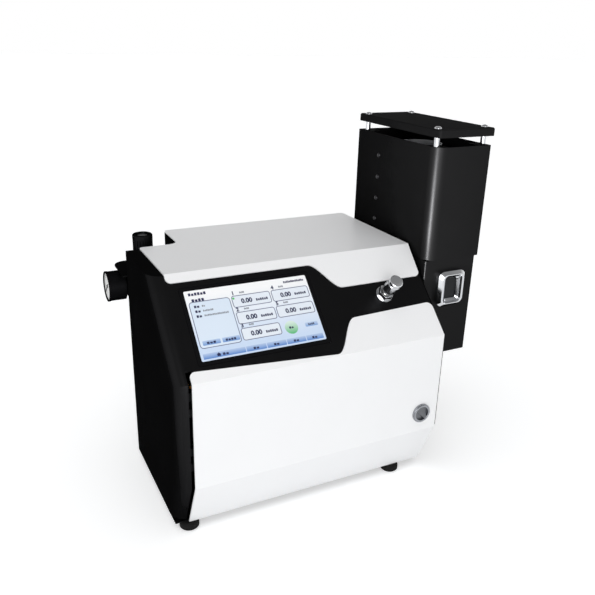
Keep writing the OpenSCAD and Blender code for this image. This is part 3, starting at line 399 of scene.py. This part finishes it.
def home(node):
    """The body and the material slot that the record gives a node."""
    record = frame["record"]
    body = next(b for b, members in record["behaviour"]["bodies"].items() if node in members)
    slot = next(p["material_slot"] for p in record["subparts"] if p["node"] == node)
    return body, slot


def dress(node, material, edge=0.0):
    """A merged copy of a CAD node with rounded edges and its finish stands for the node."""
    body, slot = home(node)
    shape = bmesh.new()
    shape.from_mesh(frame["nodes"][node].data)
    bmesh.ops.remove_doubles(shape, verts=shape.verts, dist=2e-6)
    bmesh.ops.dissolve_limit(shape, angle_limit=math.radians(FLAT_ANGLE),
                             verts=shape.verts, edges=shape.edges)
    mesh = bpy.data.meshes.new(node + "_dressed")
    shape.to_mesh(mesh)
    shape.free()
    piece = put(node + "_dressed", mesh, material, body)
    if edge:
        rounding = piece.modifiers.new("edges", "BEVEL")
        rounding.width = edge
        rounding.segments = 2
        rounding.limit_method = "ANGLE"
        rounding.angle_limit = math.radians(EDGE_ANGLE)
        rounding.harden_normals = True
    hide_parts(node)
    return piece


def prism(shape, outline, place, low, high):
    """Adds a closed plate: an outline placed at two heights and joined round its edge."""
    bottom = [shape.verts.new(place(a, b, low)) for a, b in outline]
    top = [shape.verts.new(place(a, b, high)) for a, b in outline]
    shape.faces.new(bottom)
    shape.faces.new(top)
    for k in range(len(outline)):
        n = (k + 1) % len(outline)
        shape.faces.new((bottom[k], bottom[n], top[n], top[k]))


def hoop(shape, corners, place):
    """Adds a closed ring: outlines of as many points, each with its height, joined in turn."""
    loops = [[shape.verts.new(place(a, b, z)) for a, b in line] for line, z in corners]
    for here, there in zip(loops, loops[1:] + loops[:1]):
        for m in range(len(here)):
            n = (m + 1) % len(here)
            shape.faces.new((here[m], here[n], there[n], there[m]))


def band(shape, outer, inner, place, low, high):
    """Adds a closed ring with square corners between two outlines."""
    hoop(shape, ((outer, low), (outer, high), (inner, high), (inner, low)), place)


def round_box(x0, y0, x1, y1, r):
    """The outline of a rectangle with rounded corners."""
    points = []
    steps = 5
    for cx, cy, start in ((x1 - r, y1 - r, 0), (x0 + r, y1 - r, 90),
                          (x0 + r, y0 + r, 180), (x1 - r, y0 + r, 270)):
        for k in range(steps + 1):
            a = math.radians(start + 90 * k / steps)
            points.append((cx + r * math.cos(a), cy + r * math.sin(a)))
    return points


def on_ring(radius, k, steps):
    """The point at step k of a turn round the origin."""
    turn = 2 * math.pi * k / steps
    return radius * math.cos(turn), radius * math.sin(turn)


def circle(cx, cy, radius, steps=32):
    """The outline of a circle."""
    around = [on_ring(radius, k, steps) for k in range(steps)]
    return [(cx + x, cy + y) for x, y in around]


def turned(shape, profile, matrix, steps):
    """Adds a closed turned form: radius and height pairs round Z, then placed."""
    rings = []
    for radius, height in profile:
        if radius == 0:
            rings.append([shape.verts.new(matrix @ Vector((0, 0, height)))])
            continue
        rings.append([shape.verts.new(matrix @ Vector((*on_ring(radius, k, steps), height)))
                      for k in range(steps)])
    for here, there in zip(rings, rings[1:]):
        for k in range(steps):
            n = (k + 1) % steps
            corners = [here[k % len(here)], here[n % len(here)],
                       there[n % len(there)], there[k % len(there)]]
            shape.faces.new(list(dict.fromkeys(corners)))


def facing(origin, direction):
    """A matrix, in millimetres, that stands +Z along a direction at a row-frame point."""
    turn = Vector(direction).to_track_quat("Z", "Y").to_matrix().to_4x4()
    return Matrix.Translation(origin) @ turn @ Matrix.Scale(MM, 4)


# ---------------------------------------------------------------- repeated pieces

def repeat_tree(name, radial):
    """A node tree that repeats a part on points, or round a ring that it faces."""
    tree = bpy.data.node_groups.get(name)
    if tree:
        return tree
    tree = bpy.data.node_groups.new(name, "GeometryNodeTree")
    face = tree.interface
    face.new_socket("Geometry", in_out="INPUT", socket_type="NodeSocketGeometry")
    face.new_socket("Part", in_out="INPUT", socket_type="NodeSocketObject")
    face.new_socket("Finish", in_out="INPUT", socket_type="NodeSocketMaterial")
    face.new_socket("Turn", in_out="INPUT", socket_type="NodeSocketVector")
    face.new_socket("Geometry", in_out="OUTPUT", socket_type="NodeSocketGeometry")
    nodes, join = tree.nodes, tree.links
    given = nodes.new("NodeGroupInput")
    result = nodes.new("NodeGroupOutput")
    part = nodes.new("GeometryNodeObjectInfo")
    points = nodes.new("GeometryNodeMeshToPoints")
    copies = nodes.new("GeometryNodeInstanceOnPoints")
    real = nodes.new("GeometryNodeRealizeInstances")
    paint = nodes.new("GeometryNodeSetMaterial")
    join.new(given.outputs["Geometry"], points.inputs["Mesh"])
    join.new(given.outputs["Part"], part.inputs["Object"])
    join.new(points.outputs["Points"], copies.inputs["Points"])
    join.new(part.outputs["Geometry"], copies.inputs["Instance"])
    if radial:
        where = nodes.new("GeometryNodeInputPosition")
        aim = nodes.new("FunctionNodeAlignRotationToVector")
        aim.axis = "X"
        aim.pivot_axis = "Z"
        join.new(where.outputs["Position"], aim.inputs["Vector"])
        join.new(aim.outputs["Rotation"], copies.inputs["Rotation"])
    else:
        turn = nodes.new("FunctionNodeEulerToRotation")
        join.new(given.outputs["Turn"], turn.inputs["Euler"])
        join.new(turn.outputs["Rotation"], copies.inputs["Rotation"])
    join.new(copies.outputs["Instances"], real.inputs["Geometry"])
    join.new(real.outputs["Geometry"], paint.inputs["Geometry"])
    join.new(given.outputs["Finish"], paint.inputs["Material"])
    join.new(paint.outputs["Geometry"], result.inputs["Geometry"])
    return tree


def repeated(name, points, part_shape, material, body, turn=(0, 0, 0), place=None):
    """Repeats a small part on points. With place it goes round Z first and is then placed."""
    seed = bpy.data.meshes.new(name + "_points")
    seed.from_pydata([tuple(p) for p in points], [], [])
    holder = bpy.data.objects.new(name + "_holder", seed)
    bmesh.ops.recalc_face_normals(part_shape, faces=part_shape.faces)
    part_mesh = bpy.data.meshes.new(name + "_part")
    part_shape.to_mesh(part_mesh)
    part_shape.free()
    part = bpy.data.objects.new(name + "_part", part_mesh)
    for obj in (holder, part):
        bpy.context.scene.collection.objects.link(obj)
    radial = place is not None
    tree = repeat_tree("repeat_round_ring" if radial else "repeat_on_points", radial)
    modifier = holder.modifiers.new("repeat", "NODES")
    modifier.node_group = tree
    ids = {item.name: item.identifier for item in tree.interface.items_tree
           if item.in_out == "INPUT"}
    modifier[ids["Part"]] = part
    modifier[ids["Finish"]] = material
    modifier[ids["Turn"]] = turn
    graph = bpy.context.evaluated_depsgraph_get()
    mesh = bpy.data.meshes.new_from_object(holder.evaluated_get(graph))
    if radial:
        mesh.transform(place)
    bpy.data.objects.remove(holder)
    bpy.data.objects.remove(part)
    return put(name, mesh, material, body)


def screw_head(radius, height):
    """A button head with a hexagon socket, standing up from the ground."""
    shape = bmesh.new()
    key = radius / 2
    rim = height * 0.35
    rings = [(radius, 0.0), (radius, rim), (radius * 0.8, height * 0.85), (key * 1.15, height)]
    steps = 24
    loops = [[shape.verts.new((*on_ring(r, k, steps), z)) for k in range(steps)]
             for r, z in rings]

    def corner(k):
        """Distance to a hexagon's edge at step k of its turn."""
        a = (2 * math.pi * k / steps) % (math.pi / 3) - math.pi / 6
        return key * math.cos(math.pi / 6) / math.cos(a)

    for z in (height, rim):
        loops.append([shape.verts.new((*on_ring(corner(k), k, steps), z))
                      for k in range(steps)])
    for here, there in zip(loops, loops[1:]):
        for k in range(steps):
            n = (k + 1) % steps
            shape.faces.new((here[k], here[n], there[n], there[k]))
    shape.faces.new(loops[0])
    shape.faces.new(loops[-1])
    return shape


def rear_screws(name, points, radius, height):
    """Button heads on points of the body that face the rear."""
    repeated(name, [spot(*point) for point in points], screw_head(radius, height), steel(),
             "instrument", turn=(-math.pi / 2, 0, 0))


def small_block(dx, dy, dz):
    """A block of this size that stands on the ground, centred."""
    shape = bmesh.new()
    prism(shape, [(-dx / 2, -dy / 2), (dx / 2, -dy / 2), (dx / 2, dy / 2), (-dx / 2, dy / 2)],
          lambda a, b, c: Vector((a, b, c)), 0, dz)
    return shape


# ---------------------------------------------------------------- operators

def background_rays(nodes, join):
    """1 for the rays that see the pale background: from the camera, gloss and glass."""
    ray = add(nodes, "ShaderNodeLightPath")
    total = ray.outputs["Is Camera Ray"]
    for kind in ("Is Glossy Ray", "Is Transmission Ray"):
        either = add(nodes, "ShaderNodeMath", operation="MAXIMUM")
        join.new(total, either.inputs[0])
        join.new(ray.outputs[kind], either.inputs[1])
        total = either.outputs[0]
    return total


class MakeStage(bpy.types.Operator):
    """Make the floor, the world, the lamps and the camera"""
    bl_idname = "photometer.stage"
    bl_label = "Stage"

    def panel(self, name, power, size, place, target):
        """A soft lamp of this width and height that faces a point."""
        lamp = bpy.data.lights.new(name, "AREA")
        lamp.shape = "RECTANGLE"
        lamp.size, lamp.size_y = size
        lamp.energy = power
        holder = bpy.data.objects.new(name, lamp)
        holder.location = place
        holder.rotation_euler = (Vector(target) - Vector(place)).to_track_quat(
            "-Z", "Y").to_euler()
        holder.visible_camera = False
        bpy.context.scene.collection.objects.link(holder)
        return holder

    def execute(self, context):
        s = context.scene.photometer_stage
        scene = context.scene
        scene.view_settings.view_transform = "Standard"
        bpy.ops.mesh.primitive_plane_add(size=FLOOR_SIZE, location=(0, 0, 0))
        floor = context.object
        floor.name = "floor"
        material = bpy.data.materials.new("floor_paint")
        material.use_nodes = True
        nodes, join = links(material)
        shader = nodes["Principled BSDF"]
        shader.inputs["Base Color"].default_value = (*s.floor, 1)
        shader.inputs["Roughness"].default_value = 0.9
        shader.inputs["Specular IOR Level"].default_value = 0.1
        shader.inputs["Emission Color"].default_value = (1, 1, 1, 1)
        level = add(nodes, "ShaderNodeMath", operation="MULTIPLY")
        level.inputs[1].default_value = FLOOR_GLOW
        join.new(background_rays(nodes, join), level.inputs[0])
        join.new(level.outputs[0], shader.inputs["Emission Strength"])
        floor.data.materials.append(material)

        world = bpy.data.worlds.new("studio")
        scene.world = world
        world.use_nodes = True
        nodes, join = world.node_tree.nodes, world.node_tree.links
        aim = add(nodes, "ShaderNodeTexCoord")
        parts = add(nodes, "ShaderNodeSeparateXYZ")
        dome = add(nodes, "ShaderNodeMapRange")
        dome.inputs["From Min"].default_value = HORIZON
        dome.inputs["From Max"].default_value = OVERHEAD
        dome.inputs["To Min"].default_value = 1.0
        dome.inputs["To Max"].default_value = s.zenith
        level = add(nodes, "ShaderNodeMapRange")
        level.inputs["To Min"].default_value = s.world
        join.new(aim.outputs["Generated"], parts.inputs["Vector"])
        join.new(parts.outputs["Z"], dome.inputs["Value"])
        join.new(dome.outputs["Result"], level.inputs["To Max"])
        join.new(background_rays(nodes, join), level.inputs["Value"])
        background = nodes["Background"]
        background.inputs["Color"].default_value = (1, 1, 1, 1)
        join.new(level.outputs["Result"], background.inputs["Strength"])

        for name, aim, strength, soft in (("key", KEY_AIM, s.key, KEY_ANGLE),
                                          ("fill", FILL_AIM, s.fill, FILL_ANGLE)):
            lamp = bpy.data.lights.new(name, "SUN")
            lamp.energy = strength
            lamp.angle = math.radians(soft)
            holder = bpy.data.objects.new(name, lamp)
            holder.rotation_euler = Vector(aim).to_track_quat("-Z", "Y").to_euler()
            holder.visible_glossy = name == "key"
            scene.collection.objects.link(holder)
        self.panel("soft_box", s.box, *SOFT_BOX)
        strip = self.panel("strip", s.strip, *STRIP)
        lit = bpy.data.collections.new("lit_by_strip")
        strip.light_linking.receiver_collection = lit

        lens = bpy.data.cameras.new("camera")
        lens.sensor_width = SENSOR_MM
        lens.lens = SENSOR_MM * FOCAL_PX / FRAME_PX
        lens.clip_start = 0.01
        camera = bpy.data.objects.new("camera", lens)
        yaw, pitch, roll = (math.radians(a) for a in (CAMERA_YAW, CAMERA_PITCH, CAMERA_ROLL))
        ahead = Vector((math.sin(yaw) * math.cos(pitch), math.cos(yaw) * math.cos(pitch),
                        math.sin(pitch)))
        right = Vector((math.cos(yaw), -math.sin(yaw), 0))
        up = right.cross(ahead)
        across = math.cos(roll) * right + math.sin(roll) * up
        upward = -math.sin(roll) * right + math.cos(roll) * up
        turn = Matrix((across, upward, -ahead)).transposed().to_4x4()
        camera.matrix_world = Matrix.Translation(CAMERA_PLACE) @ turn
        scene.collection.objects.link(camera)
        scene.camera = camera
        return {"FINISHED"}


class MakeHousing(bpy.types.Operator):
    """Finish the frame, pan, rear panel, cover and door, with their screws"""
    bl_idname = "photometer.housing"
    bl_label = "Housing"

    def execute(self, context):
        edge = context.scene.photometer_finish.edge
        head = context.scene.photometer_detail.screw_head
        for node in ("housing_frame", "rear_panel", "base_pan"):
            dress(node, black_coat(), edge)
        for node in ("top_cover", "front_door"):
            dress(node, white_coat(), 2 * edge)
        dress("feet", rubber())
        rear = [(x, REAR_PANEL_Y, z) for x in REAR_SCREWS_X for z in REAR_SCREWS_Z]
        rear_screws("rear_panel_screws", rear, head, 0.0017)
        under = [spot(x, y, 0) for x, y in FOOT_SCREWS]
        shape = bmesh.new()
        turned(shape, [(0, 0.05), (3.2, 0.05), (3.2, 0.6), (0, 0.6)], Matrix.Scale(MM, 4), 20)
        repeated("foot_screws", under, shape, steel(), "instrument")
        return {"FINISHED"}


class MakeDoorFittings(bpy.types.Operator):
    """Finish the hinges and the latch"""
    bl_idname = "photometer.door_fittings"
    bl_label = "Hinges and latch"

    def execute(self, context):
        for node in ("door_hinge_leaves", "frame_hinge_leaves", "hinge_pins"):
            dress(node, blackened(), THIN_EDGE)
        dress("latch_cam", steel(), THIN_EDGE)
        dress("latch_ring", finish("latch_chrome", (0.30, 0.31, 0.33), metal=1, rough=0.2,
                                   grain=900, depth=0.02), SOFT_EDGE)
        dress("latch_plug", finish("latch_steel", (0.15, 0.155, 0.165), metal=1, rough=0.3,
                                   grain=900, depth=0.03), SOFT_EDGE)
        return {"FINISHED"}


class MakeScreen(bpy.types.Operator):
    """Finish the glass and draw its lit picture of plain numbers and bars"""
    bl_idname = "photometer.screen"
    bl_label = "Screen"

    def place(self, a, b, out):
        """A point given in millimetres from the picture's upper left corner."""
        return on_screen(a / PICTURE_W, b / PICTURE_H, out)

    def flat(self, name, outlines, material, level):
        """One mesh of thin plates with these outlines."""
        shape = bmesh.new()
        for outline in outlines:
            prism(shape, outline, self.place, level, level + LAYER)
        return from_shape(name, shape, material, "instrument")

    def layer(self, name, boxes, material, level):
        """One mesh of rounded boxes, in fractions of the picture and a radius."""
        return self.flat(name, [round_box(x0 * PICTURE_W, y0 * PICTURE_H, x1 * PICTURE_W,
                                          y1 * PICTURE_H, r) for x0, y0, x1, y1, r in boxes],
                         material, level)

    def letters(self, x0, y0, x1, y1, count):
        """A word's place as that many small blanks, in place of any real lettering."""
        pitch = (x1 - x0) / count
        return [(x0 + k * pitch, y0 + (y1 - y0) * 0.2 * (k % 3 == 1),
                 x0 + (k + 0.74) * pitch, y1, 0.15) for k in range(count)]

    def figures(self, name, words, material):
        """Figures as flat meshes: what they say, place, height in millimetres."""
        whole = bmesh.new()
        for text, across, down, height in words:
            curve = bpy.data.curves.new("figure", "FONT")
            curve.body = text
            curve.size = height
            curve.extrude = FIGURE_DEPTH
            curve.offset = 0.04 * height
            curve.resolution_u = 3
            curve.align_x = "CENTER"
            curve.align_y = "CENTER"
            holder = bpy.data.objects.new("figure", curve)
            bpy.context.scene.collection.objects.link(holder)
            graph = bpy.context.evaluated_depsgraph_get()
            mesh = bpy.data.meshes.new_from_object(holder.evaluated_get(graph))
            for vertex in mesh.vertices:
                a, b, c = vertex.co
                vertex.co = on_screen(across + a / PICTURE_W, down - b / PICTURE_H,
                                      INK_LEVEL + FIGURE_DEPTH + c)
            whole.from_mesh(mesh)
            bpy.data.objects.remove(holder)
            bpy.data.meshes.remove(mesh)
        bmesh.ops.remove_doubles(whole, verts=whole.verts, dist=1e-6)
        return from_shape(name, whole, material, "instrument")

    def execute(self, context):
        s = context.scene.photometer_screen
        dress("touch_glass", finish("screen_glass_black", (0.014, 0.014, 0.0155), metal=0.78,
                                    rough=0.22, spread=0.03, depth=0.0, specular=0.0,
                                    rim=0.0))
        dress("lcd_module", zinc())
        dress("display_bracket", zinc(), FINE_EDGE)
        paper = fading("screen_background", (0.56, 0.67, 0.84), (0.88, 0.89, 0.90),
                       on_screen(0.5, 0.85), on_screen(0.5, 0.08), s.glow)
        self.layer("screen_background", [(0, 0, 1, 1, 1.6)], paper, PAPER_LEVEL)
        panes = finish("screen_panes", (0.66, 0.75, 0.86), rough=0.22, depth=0.0, tint=0.02,
                       glow=s.glow)
        ink = finish("screen_ink", s.ink, rough=0.3, depth=0.0)
        grey = finish("screen_grey", (0.22, 0.24, 0.28), rough=0.3, depth=0.0)
        line = finish("screen_lines", (0.13, 0.15, 0.25), rough=0.3, depth=0.0)
        values = [(0.347, 0.16), (0.347, 0.405), (0.347, 0.64), (0.672, 0.16), (0.672, 0.405)]
        boxes = [(x, y, x + 0.315, y + 0.178, 3.0) for x, y in values]
        panel = (0.015, 0.165, 0.335, 0.83, 4.0)
        self.layer("screen_panes", [panel], panes, PANE_LEVEL)
        fields = finish("screen_fields", (0.74, 0.79, 0.86), rough=0.22, depth=0.0, tint=0.02,
                        glow=s.glow)
        self.layer("screen_fields", boxes, fields, PANE_LEVEL)
        shape = bmesh.new()
        for x0, y0, x1, y1, r in boxes + [panel]:
            lo = (x0 * PICTURE_W, y0 * PICTURE_H)
            hi = (x1 * PICTURE_W, y1 * PICTURE_H)
            band(shape, round_box(*lo, *hi, r),
                 round_box(lo[0] + s.line, lo[1] + s.line, hi[0] - s.line, hi[1] - s.line,
                           r - s.line), self.place, LINE_LEVEL, LINE_LEVEL + LAYER)
        from_shape("screen_frames", shape, line, "instrument")
        blue = fading("screen_blue", (0.085, 0.22, 0.56), (0.46, 0.58, 0.77),
                      on_screen(0.5, 0.975), on_screen(0.5, 0.895), s.glow)
        cuts = [0.015, 0.345, 0.51, 0.673, 0.837, 0.985]
        self.layer("screen_menu", [(a + 0.003, 0.90, b - 0.003, 0.975, 0.6)
                                   for a, b in zip(cuts, cuts[1:])], blue, LINE_LEVEL)
        keys = fading("screen_keys", (0.10, 0.25, 0.58), (0.46, 0.58, 0.77),
                      on_screen(0.5, 0.80), on_screen(0.5, 0.72), s.glow)
        self.layer("screen_keys", [(0.04, 0.725, 0.175, 0.79, 1), (0.19, 0.725, 0.325, 0.79, 1),
                                   (0.865, 0.715, 0.97, 0.775, 1)], keys, LINE_LEVEL)
        green = fading("screen_green", (0.12, 0.47, 0.20), (0.66, 0.78, 0.72),
                       on_screen(0.75, 0.83), on_screen(0.75, 0.66), s.glow)
        self.flat("screen_start", [circle(0.747 * PICTURE_W, 0.745 * PICTURE_H, 8.2)], green,
                  LINE_LEVEL)
        dot = finish("screen_green_dot", (0.10, 0.52, 0.14), rough=0.3, depth=0.0, glow=s.glow)
        self.flat("screen_ready", [circle(0.363 * PICTURE_W, 0.20 * PICTURE_H, 1.4, 16)], dot,
                  INK_LEVEL)
        bars = [(0.03, 0.035, 0.17, 0.075, 6), (0.045, 0.125, 0.145, 0.165, 4),
                (0.05, 0.22, 0.095, 0.255, 2), (0.05, 0.29, 0.095, 0.325, 2),
                (0.05, 0.36, 0.095, 0.395, 2), (0.80, 0.05, 0.975, 0.082, 14),
                (0.072, 0.745, 0.145, 0.775, 3), (0.215, 0.745, 0.30, 0.775, 4),
                (0.89, 0.73, 0.945, 0.757, 4), (0.728, 0.73, 0.768, 0.762, 2),
                (0.165, 0.925, 0.215, 0.957, 2)]
        bars += [((a + b) / 2 - 0.024, 0.925, (a + b) / 2 + 0.024, 0.957, 2)
                 for a, b in zip(cuts[1:], cuts[2:])]
        bars += [(x + 0.19, y + 0.085, x + 0.29, y + 0.12, 6) for x, y in values]
        self.layer("screen_bars", [c for bar in bars for c in self.letters(*bar)], ink,
                   INK_LEVEL)
        pale = [(0.11, 0.225, 0.135, 0.25, 2), (0.11, 0.295, 0.19, 0.32, 7),
                (0.11, 0.365, 0.30, 0.39, 15)]
        pale += [(x + 0.075, y - 0.05, x + 0.115, y - 0.024, 4) for x, y in values]
        self.layer("screen_pale_bars", [c for bar in pale for c in self.letters(*bar)],
                   grey, INK_LEVEL)
        words = [("0.00", x + 0.115, y + 0.095, 7.9) for x, y in values]
        words += [(str(k + 1), x + 0.022, y - 0.036, 6.6) for k, (x, y) in enumerate(values)]
        self.figures("screen_figures", words, ink)
        hx, hy = 0.135 * PICTURE_W, 0.94 * PICTURE_H
        house = [(hx - 2, hy + 1.8), (hx + 2, hy + 1.8), (hx + 2, hy), (hx + 2.8, hy),
                 (hx, hy - 2.4), (hx - 2.8, hy), (hx - 2, hy)]
        self.flat("screen_home", [house], ink, INK_LEVEL)
        return {"FINISHED"}


class MakeFuelValve(bpy.types.Operator):
    """Finish the fuel valve and rib its knob"""
    bl_idname = "photometer.fuel_valve"
    bl_label = "Fuel valve"

    def execute(self, context):
        count = context.scene.photometer_detail.knob_ribs
        dress("valve_body", nickel(), FINE_EDGE)
        dress("valve_stem", steel())
        dress("valve_nut", chrome(), FINE_EDGE)
        dress("valve_knob", chrome(), FINE_EDGE)
        out = Vector((0, -math.cos(CONSOLE), math.sin(CONSOLE)))
        base = on_console(VALVE[0], VALVE[1], 0)
        ring = [(*on_ring(RIB_CIRCLE, k, count), RIB_START) for k in range(count)]
        turn = out.to_track_quat("Z", "Y").to_matrix().to_4x4()
        repeated("valve_knob_ribs", ring, small_block(*RIB_SIZE), chrome(), "fuel_valve",
                 place=Matrix.Translation(base) @ turn)
        return {"FINISHED"}


class MakeTower(bpy.types.Operator):
    """Finish the burner tower, its cap, its screws and its window"""
    bl_idname = "photometer.tower"
    bl_label = "Burner tower"

    def execute(self, context):
        edge = context.scene.photometer_finish.edge
        lit = bpy.data.collections["lit_by_strip"]
        for node in ("burner_housing", "chimney_shell"):
            lit.objects.link(dress(node, tower_coat(), edge))
        dress("chimney_cap", cap_coat(), CAST_EDGE)
        for node in ("cap_posts", "cap_screws", "window_bezel"):
            dress(node, chrome(), FINE_EDGE)
        dress("side_screws", blackened())
        dress("heat_liner", steel(), FINE_EDGE)
        # The window glass is dark and lets little light through: partly a smoke tint, partly
        # painted shade standing for the dark inside of the chimney
        dress("window_glass", finish("tinted_and_painted_shade_glass", (0.02, 0.021, 0.023), rough=0.05,
                                     spread=0.02, depth=0.0, tint=0.0, specular=0.06,
                                     clear=0.12))
        shape = bmesh.new()
        band(shape, round_box(-12, -17, 12, 17, 4), round_box(-10.6, -15.6, 10.6, 15.6, 3),
             self.at_window, -0.5, 0.1)
        from_shape("window_gasket", shape, rubber(), "instrument")
        shape = bmesh.new()
        outer = round_box(-11.9, -16.9, 11.9, 16.9, 3.9)
        inner = round_box(-9.3, -14.3, 9.3, 14.3, 3.0)
        hoop(shape, ((outer, -0.6), (outer, -4.6), (inner, -1.4), (inner, -0.6)),
             self.at_window)
        from_shape("window_lip", shape, chrome(), "instrument")
        return {"FINISHED"}

    def at_window(self, across, up, back):
        """A point given in millimetres from the middle of the window's glass."""
        middle = spot(WINDOW_AXIS[0], WINDOW_Y, WINDOW_AXIS[1])
        return middle + Vector((across, back, up)) * MM


class MakeBurner(bpy.types.Operator):
    """Finish the burner, its igniter and the spray chamber"""
    bl_idname = "photometer.burner"
    bl_label = "Burner"

    def execute(self, context):
        for node in ("burner_stem", "burner_head", "nebulizer"):
            dress(node, steel(), FINE_EDGE)
        for node in ("igniter", "spray_chamber", "drain_trap"):
            dress(node, polymer(), SOFT_EDGE)
        return {"FINISHED"}


class MakeOptics(bpy.types.Operator):
    """Finish the optical bench"""
    bl_idname = "photometer.optics"
    bl_label = "Optics"

    def execute(self, context):
        dress("optics_shelf", zinc(), FINE_EDGE)
        for node in ("filter_block", "lens_tube"):
            dress(node, finish("black_anodised", (0.02, 0.02, 0.023), metal=0.6, rough=0.42,
                               grain=1400, depth=0.08), SOFT_EDGE)
        dress("collector_lens", clear_glass())
        dress("colour_filters", finish("filter_glass", (0.45, 0.25, 0.62), rough=0.08,
                                       depth=0.0, clear=0.7))
        dress("detector_board", board())
        return {"FINISHED"}


class MakeElectrics(bpy.types.Operator):
    """Finish the boards, supply, solenoid and coil, with pins on the board"""
    bl_idname = "photometer.electrics"
    bl_label = "Electrics"

    def execute(self, context):
        dress("control_board", board())
        dress("power_supply", zinc(), SOFT_EDGE)
        dress("fuel_solenoid", brass(), SOFT_EDGE)
        dress("ignition_coil", plastic(), MOULDED_EDGE)
        pins = [spot(x, y, CHIP_PINS_Z) for x in CHIP_PINS_X for y in CHIP_PINS_Y]
        repeated("chip_pins", pins, small_block(0.0012, 0.0030, 0.0012), zinc(), "instrument")
        return {"FINISHED"}


class MakeRearServices(bpy.types.Operator):
    """Finish the mains inlet, the switch, the fan and the gas nipples"""
    bl_idname = "photometer.rear_services"
    bl_label = "Rear services"

    def execute(self, context):
        dress("mains_inlet", plastic(), SOFT_EDGE)
        dress("switch_bezel", plastic(), FINE_EDGE)
        dress("rocker", plastic("rocker_plastic", (0.013, 0.013, 0.014), 0.3), FINE_EDGE)
        dress("fan_frame", plastic(), SOFT_EDGE)
        dress("fan_rotor", plastic("rotor_plastic", (0.014, 0.014, 0.015), 0.38))
        dress("fan_guard", chrome(), FINE_EDGE)
        dress("gas_nipples", brass(), FINE_EDGE)
        rear_screws("inlet_screws", INLET_SCREWS, 0.0026, 0.0013)
        return {"FINISHED"}


class MakeRegulator(bpy.types.Operator):
    """Finish the air regulator"""
    bl_idname = "photometer.regulator"
    bl_label = "Air regulator"

    def execute(self, context):
        dress("regulator_bracket", black_coat(), SOFT_EDGE)
        dress("regulator_body", black_coat(), CAST_EDGE)
        dress("regulator_bonnet", plastic(), SOFT_EDGE)
        dress("regulator_knob", plastic("knob_plastic", (0.013, 0.013, 0.014), 0.35))
        dress("regulator_bowl", plastic(), SOFT_EDGE)
        dress("regulator_spindle", blackened())
        rear_screws("bracket_screws", BRACKET_SCREWS, 0.0040, 0.0022)
        return {"FINISHED"}


class MakeGauge(bpy.types.Operator):
    """Finish the gauge and mark its dial with lines"""
    bl_idname = "photometer.gauge"
    bl_label = "Gauge"

    def execute(self, context):
        count = context.scene.photometer_detail.gauge_marks
        dress("gauge_case", plastic(), SOFT_EDGE)
        dress("gauge_dial", finish("dial_paint", (0.85, 0.85, 0.84), rough=0.5, grain=800,
                                   depth=0.03, tint=0.015))
        dress("gauge_needle", finish("needle_paint", (0.02, 0.02, 0.022), rough=0.4, depth=0.02))
        face = facing(spot(GAUGE[0] + GAUGE_FACE, GAUGE[1], GAUGE[2]), (-1, 0, 0))
        ink = finish("dial_ink", (0.012, 0.012, 0.014), rough=0.5, depth=0.0)
        sweep = [math.radians(MARK_START - MARK_SWEEP * k / (count - 1)) for k in range(count)]
        ring = [(MARK_CIRCLE * math.cos(a), MARK_CIRCLE * math.sin(a), 0.0) for a in sweep]
        repeated("gauge_marks", ring, small_block(*MARK_SIZE), ink, "instrument",
                 place=face)
        return {"FINISHED"}


CLASSES = (StageSettings, FinishSettings, ScreenSettings, DetailSettings, MakeStage,
           MakeHousing, MakeDoorFittings, MakeScreen, MakeFuelValve, MakeTower, MakeBurner,
           MakeOptics, MakeElectrics, MakeRearServices, MakeRegulator, MakeGauge)
MAKERS = [c for c in CLASSES if issubclass(c, bpy.types.Operator)]


class PhotometerPanel(bpy.types.Panel):
    """Shows the settings and a button for each group of pieces"""
    bl_idname = "VIEW3D_PT_photometer"
    bl_label = "Flame photometer"
    bl_space_type = "VIEW_3D"
    bl_region_type = "UI"
    bl_category = "Flame photometer"

    def draw(self, context):
        scene = context.scene
        for group in (scene.photometer_stage, scene.photometer_finish,
                      scene.photometer_screen, scene.photometer_detail):
            for key in group.bl_rna.properties.keys():
                if key not in ("rna_type", "name"):
                    self.layout.prop(group, key)
        for maker in MAKERS:
            self.layout.operator(maker.bl_idname)


def register():
    for cls in (*CLASSES, PhotometerPanel):
        bpy.utils.register_class(cls)
    bpy.types.Scene.photometer_stage = PointerProperty(type=StageSettings)
    bpy.types.Scene.photometer_finish = PointerProperty(type=FinishSettings)
    bpy.types.Scene.photometer_screen = PointerProperty(type=ScreenSettings)
    bpy.types.Scene.photometer_detail = PointerProperty(type=DetailSettings)


def unregister():
    for key in ("stage", "finish", "screen", "detail"):
        delattr(bpy.types.Scene, "photometer_" + key)
    for cls in reversed((*CLASSES, PhotometerPanel)):
        bpy.utils.unregister_class(cls)


def main():
    register()
    for maker in MAKERS:
        family, name = maker.bl_idname.split(".")
        getattr(getattr(bpy.ops, family), name)()


if __name__ == "__main__":
    main()
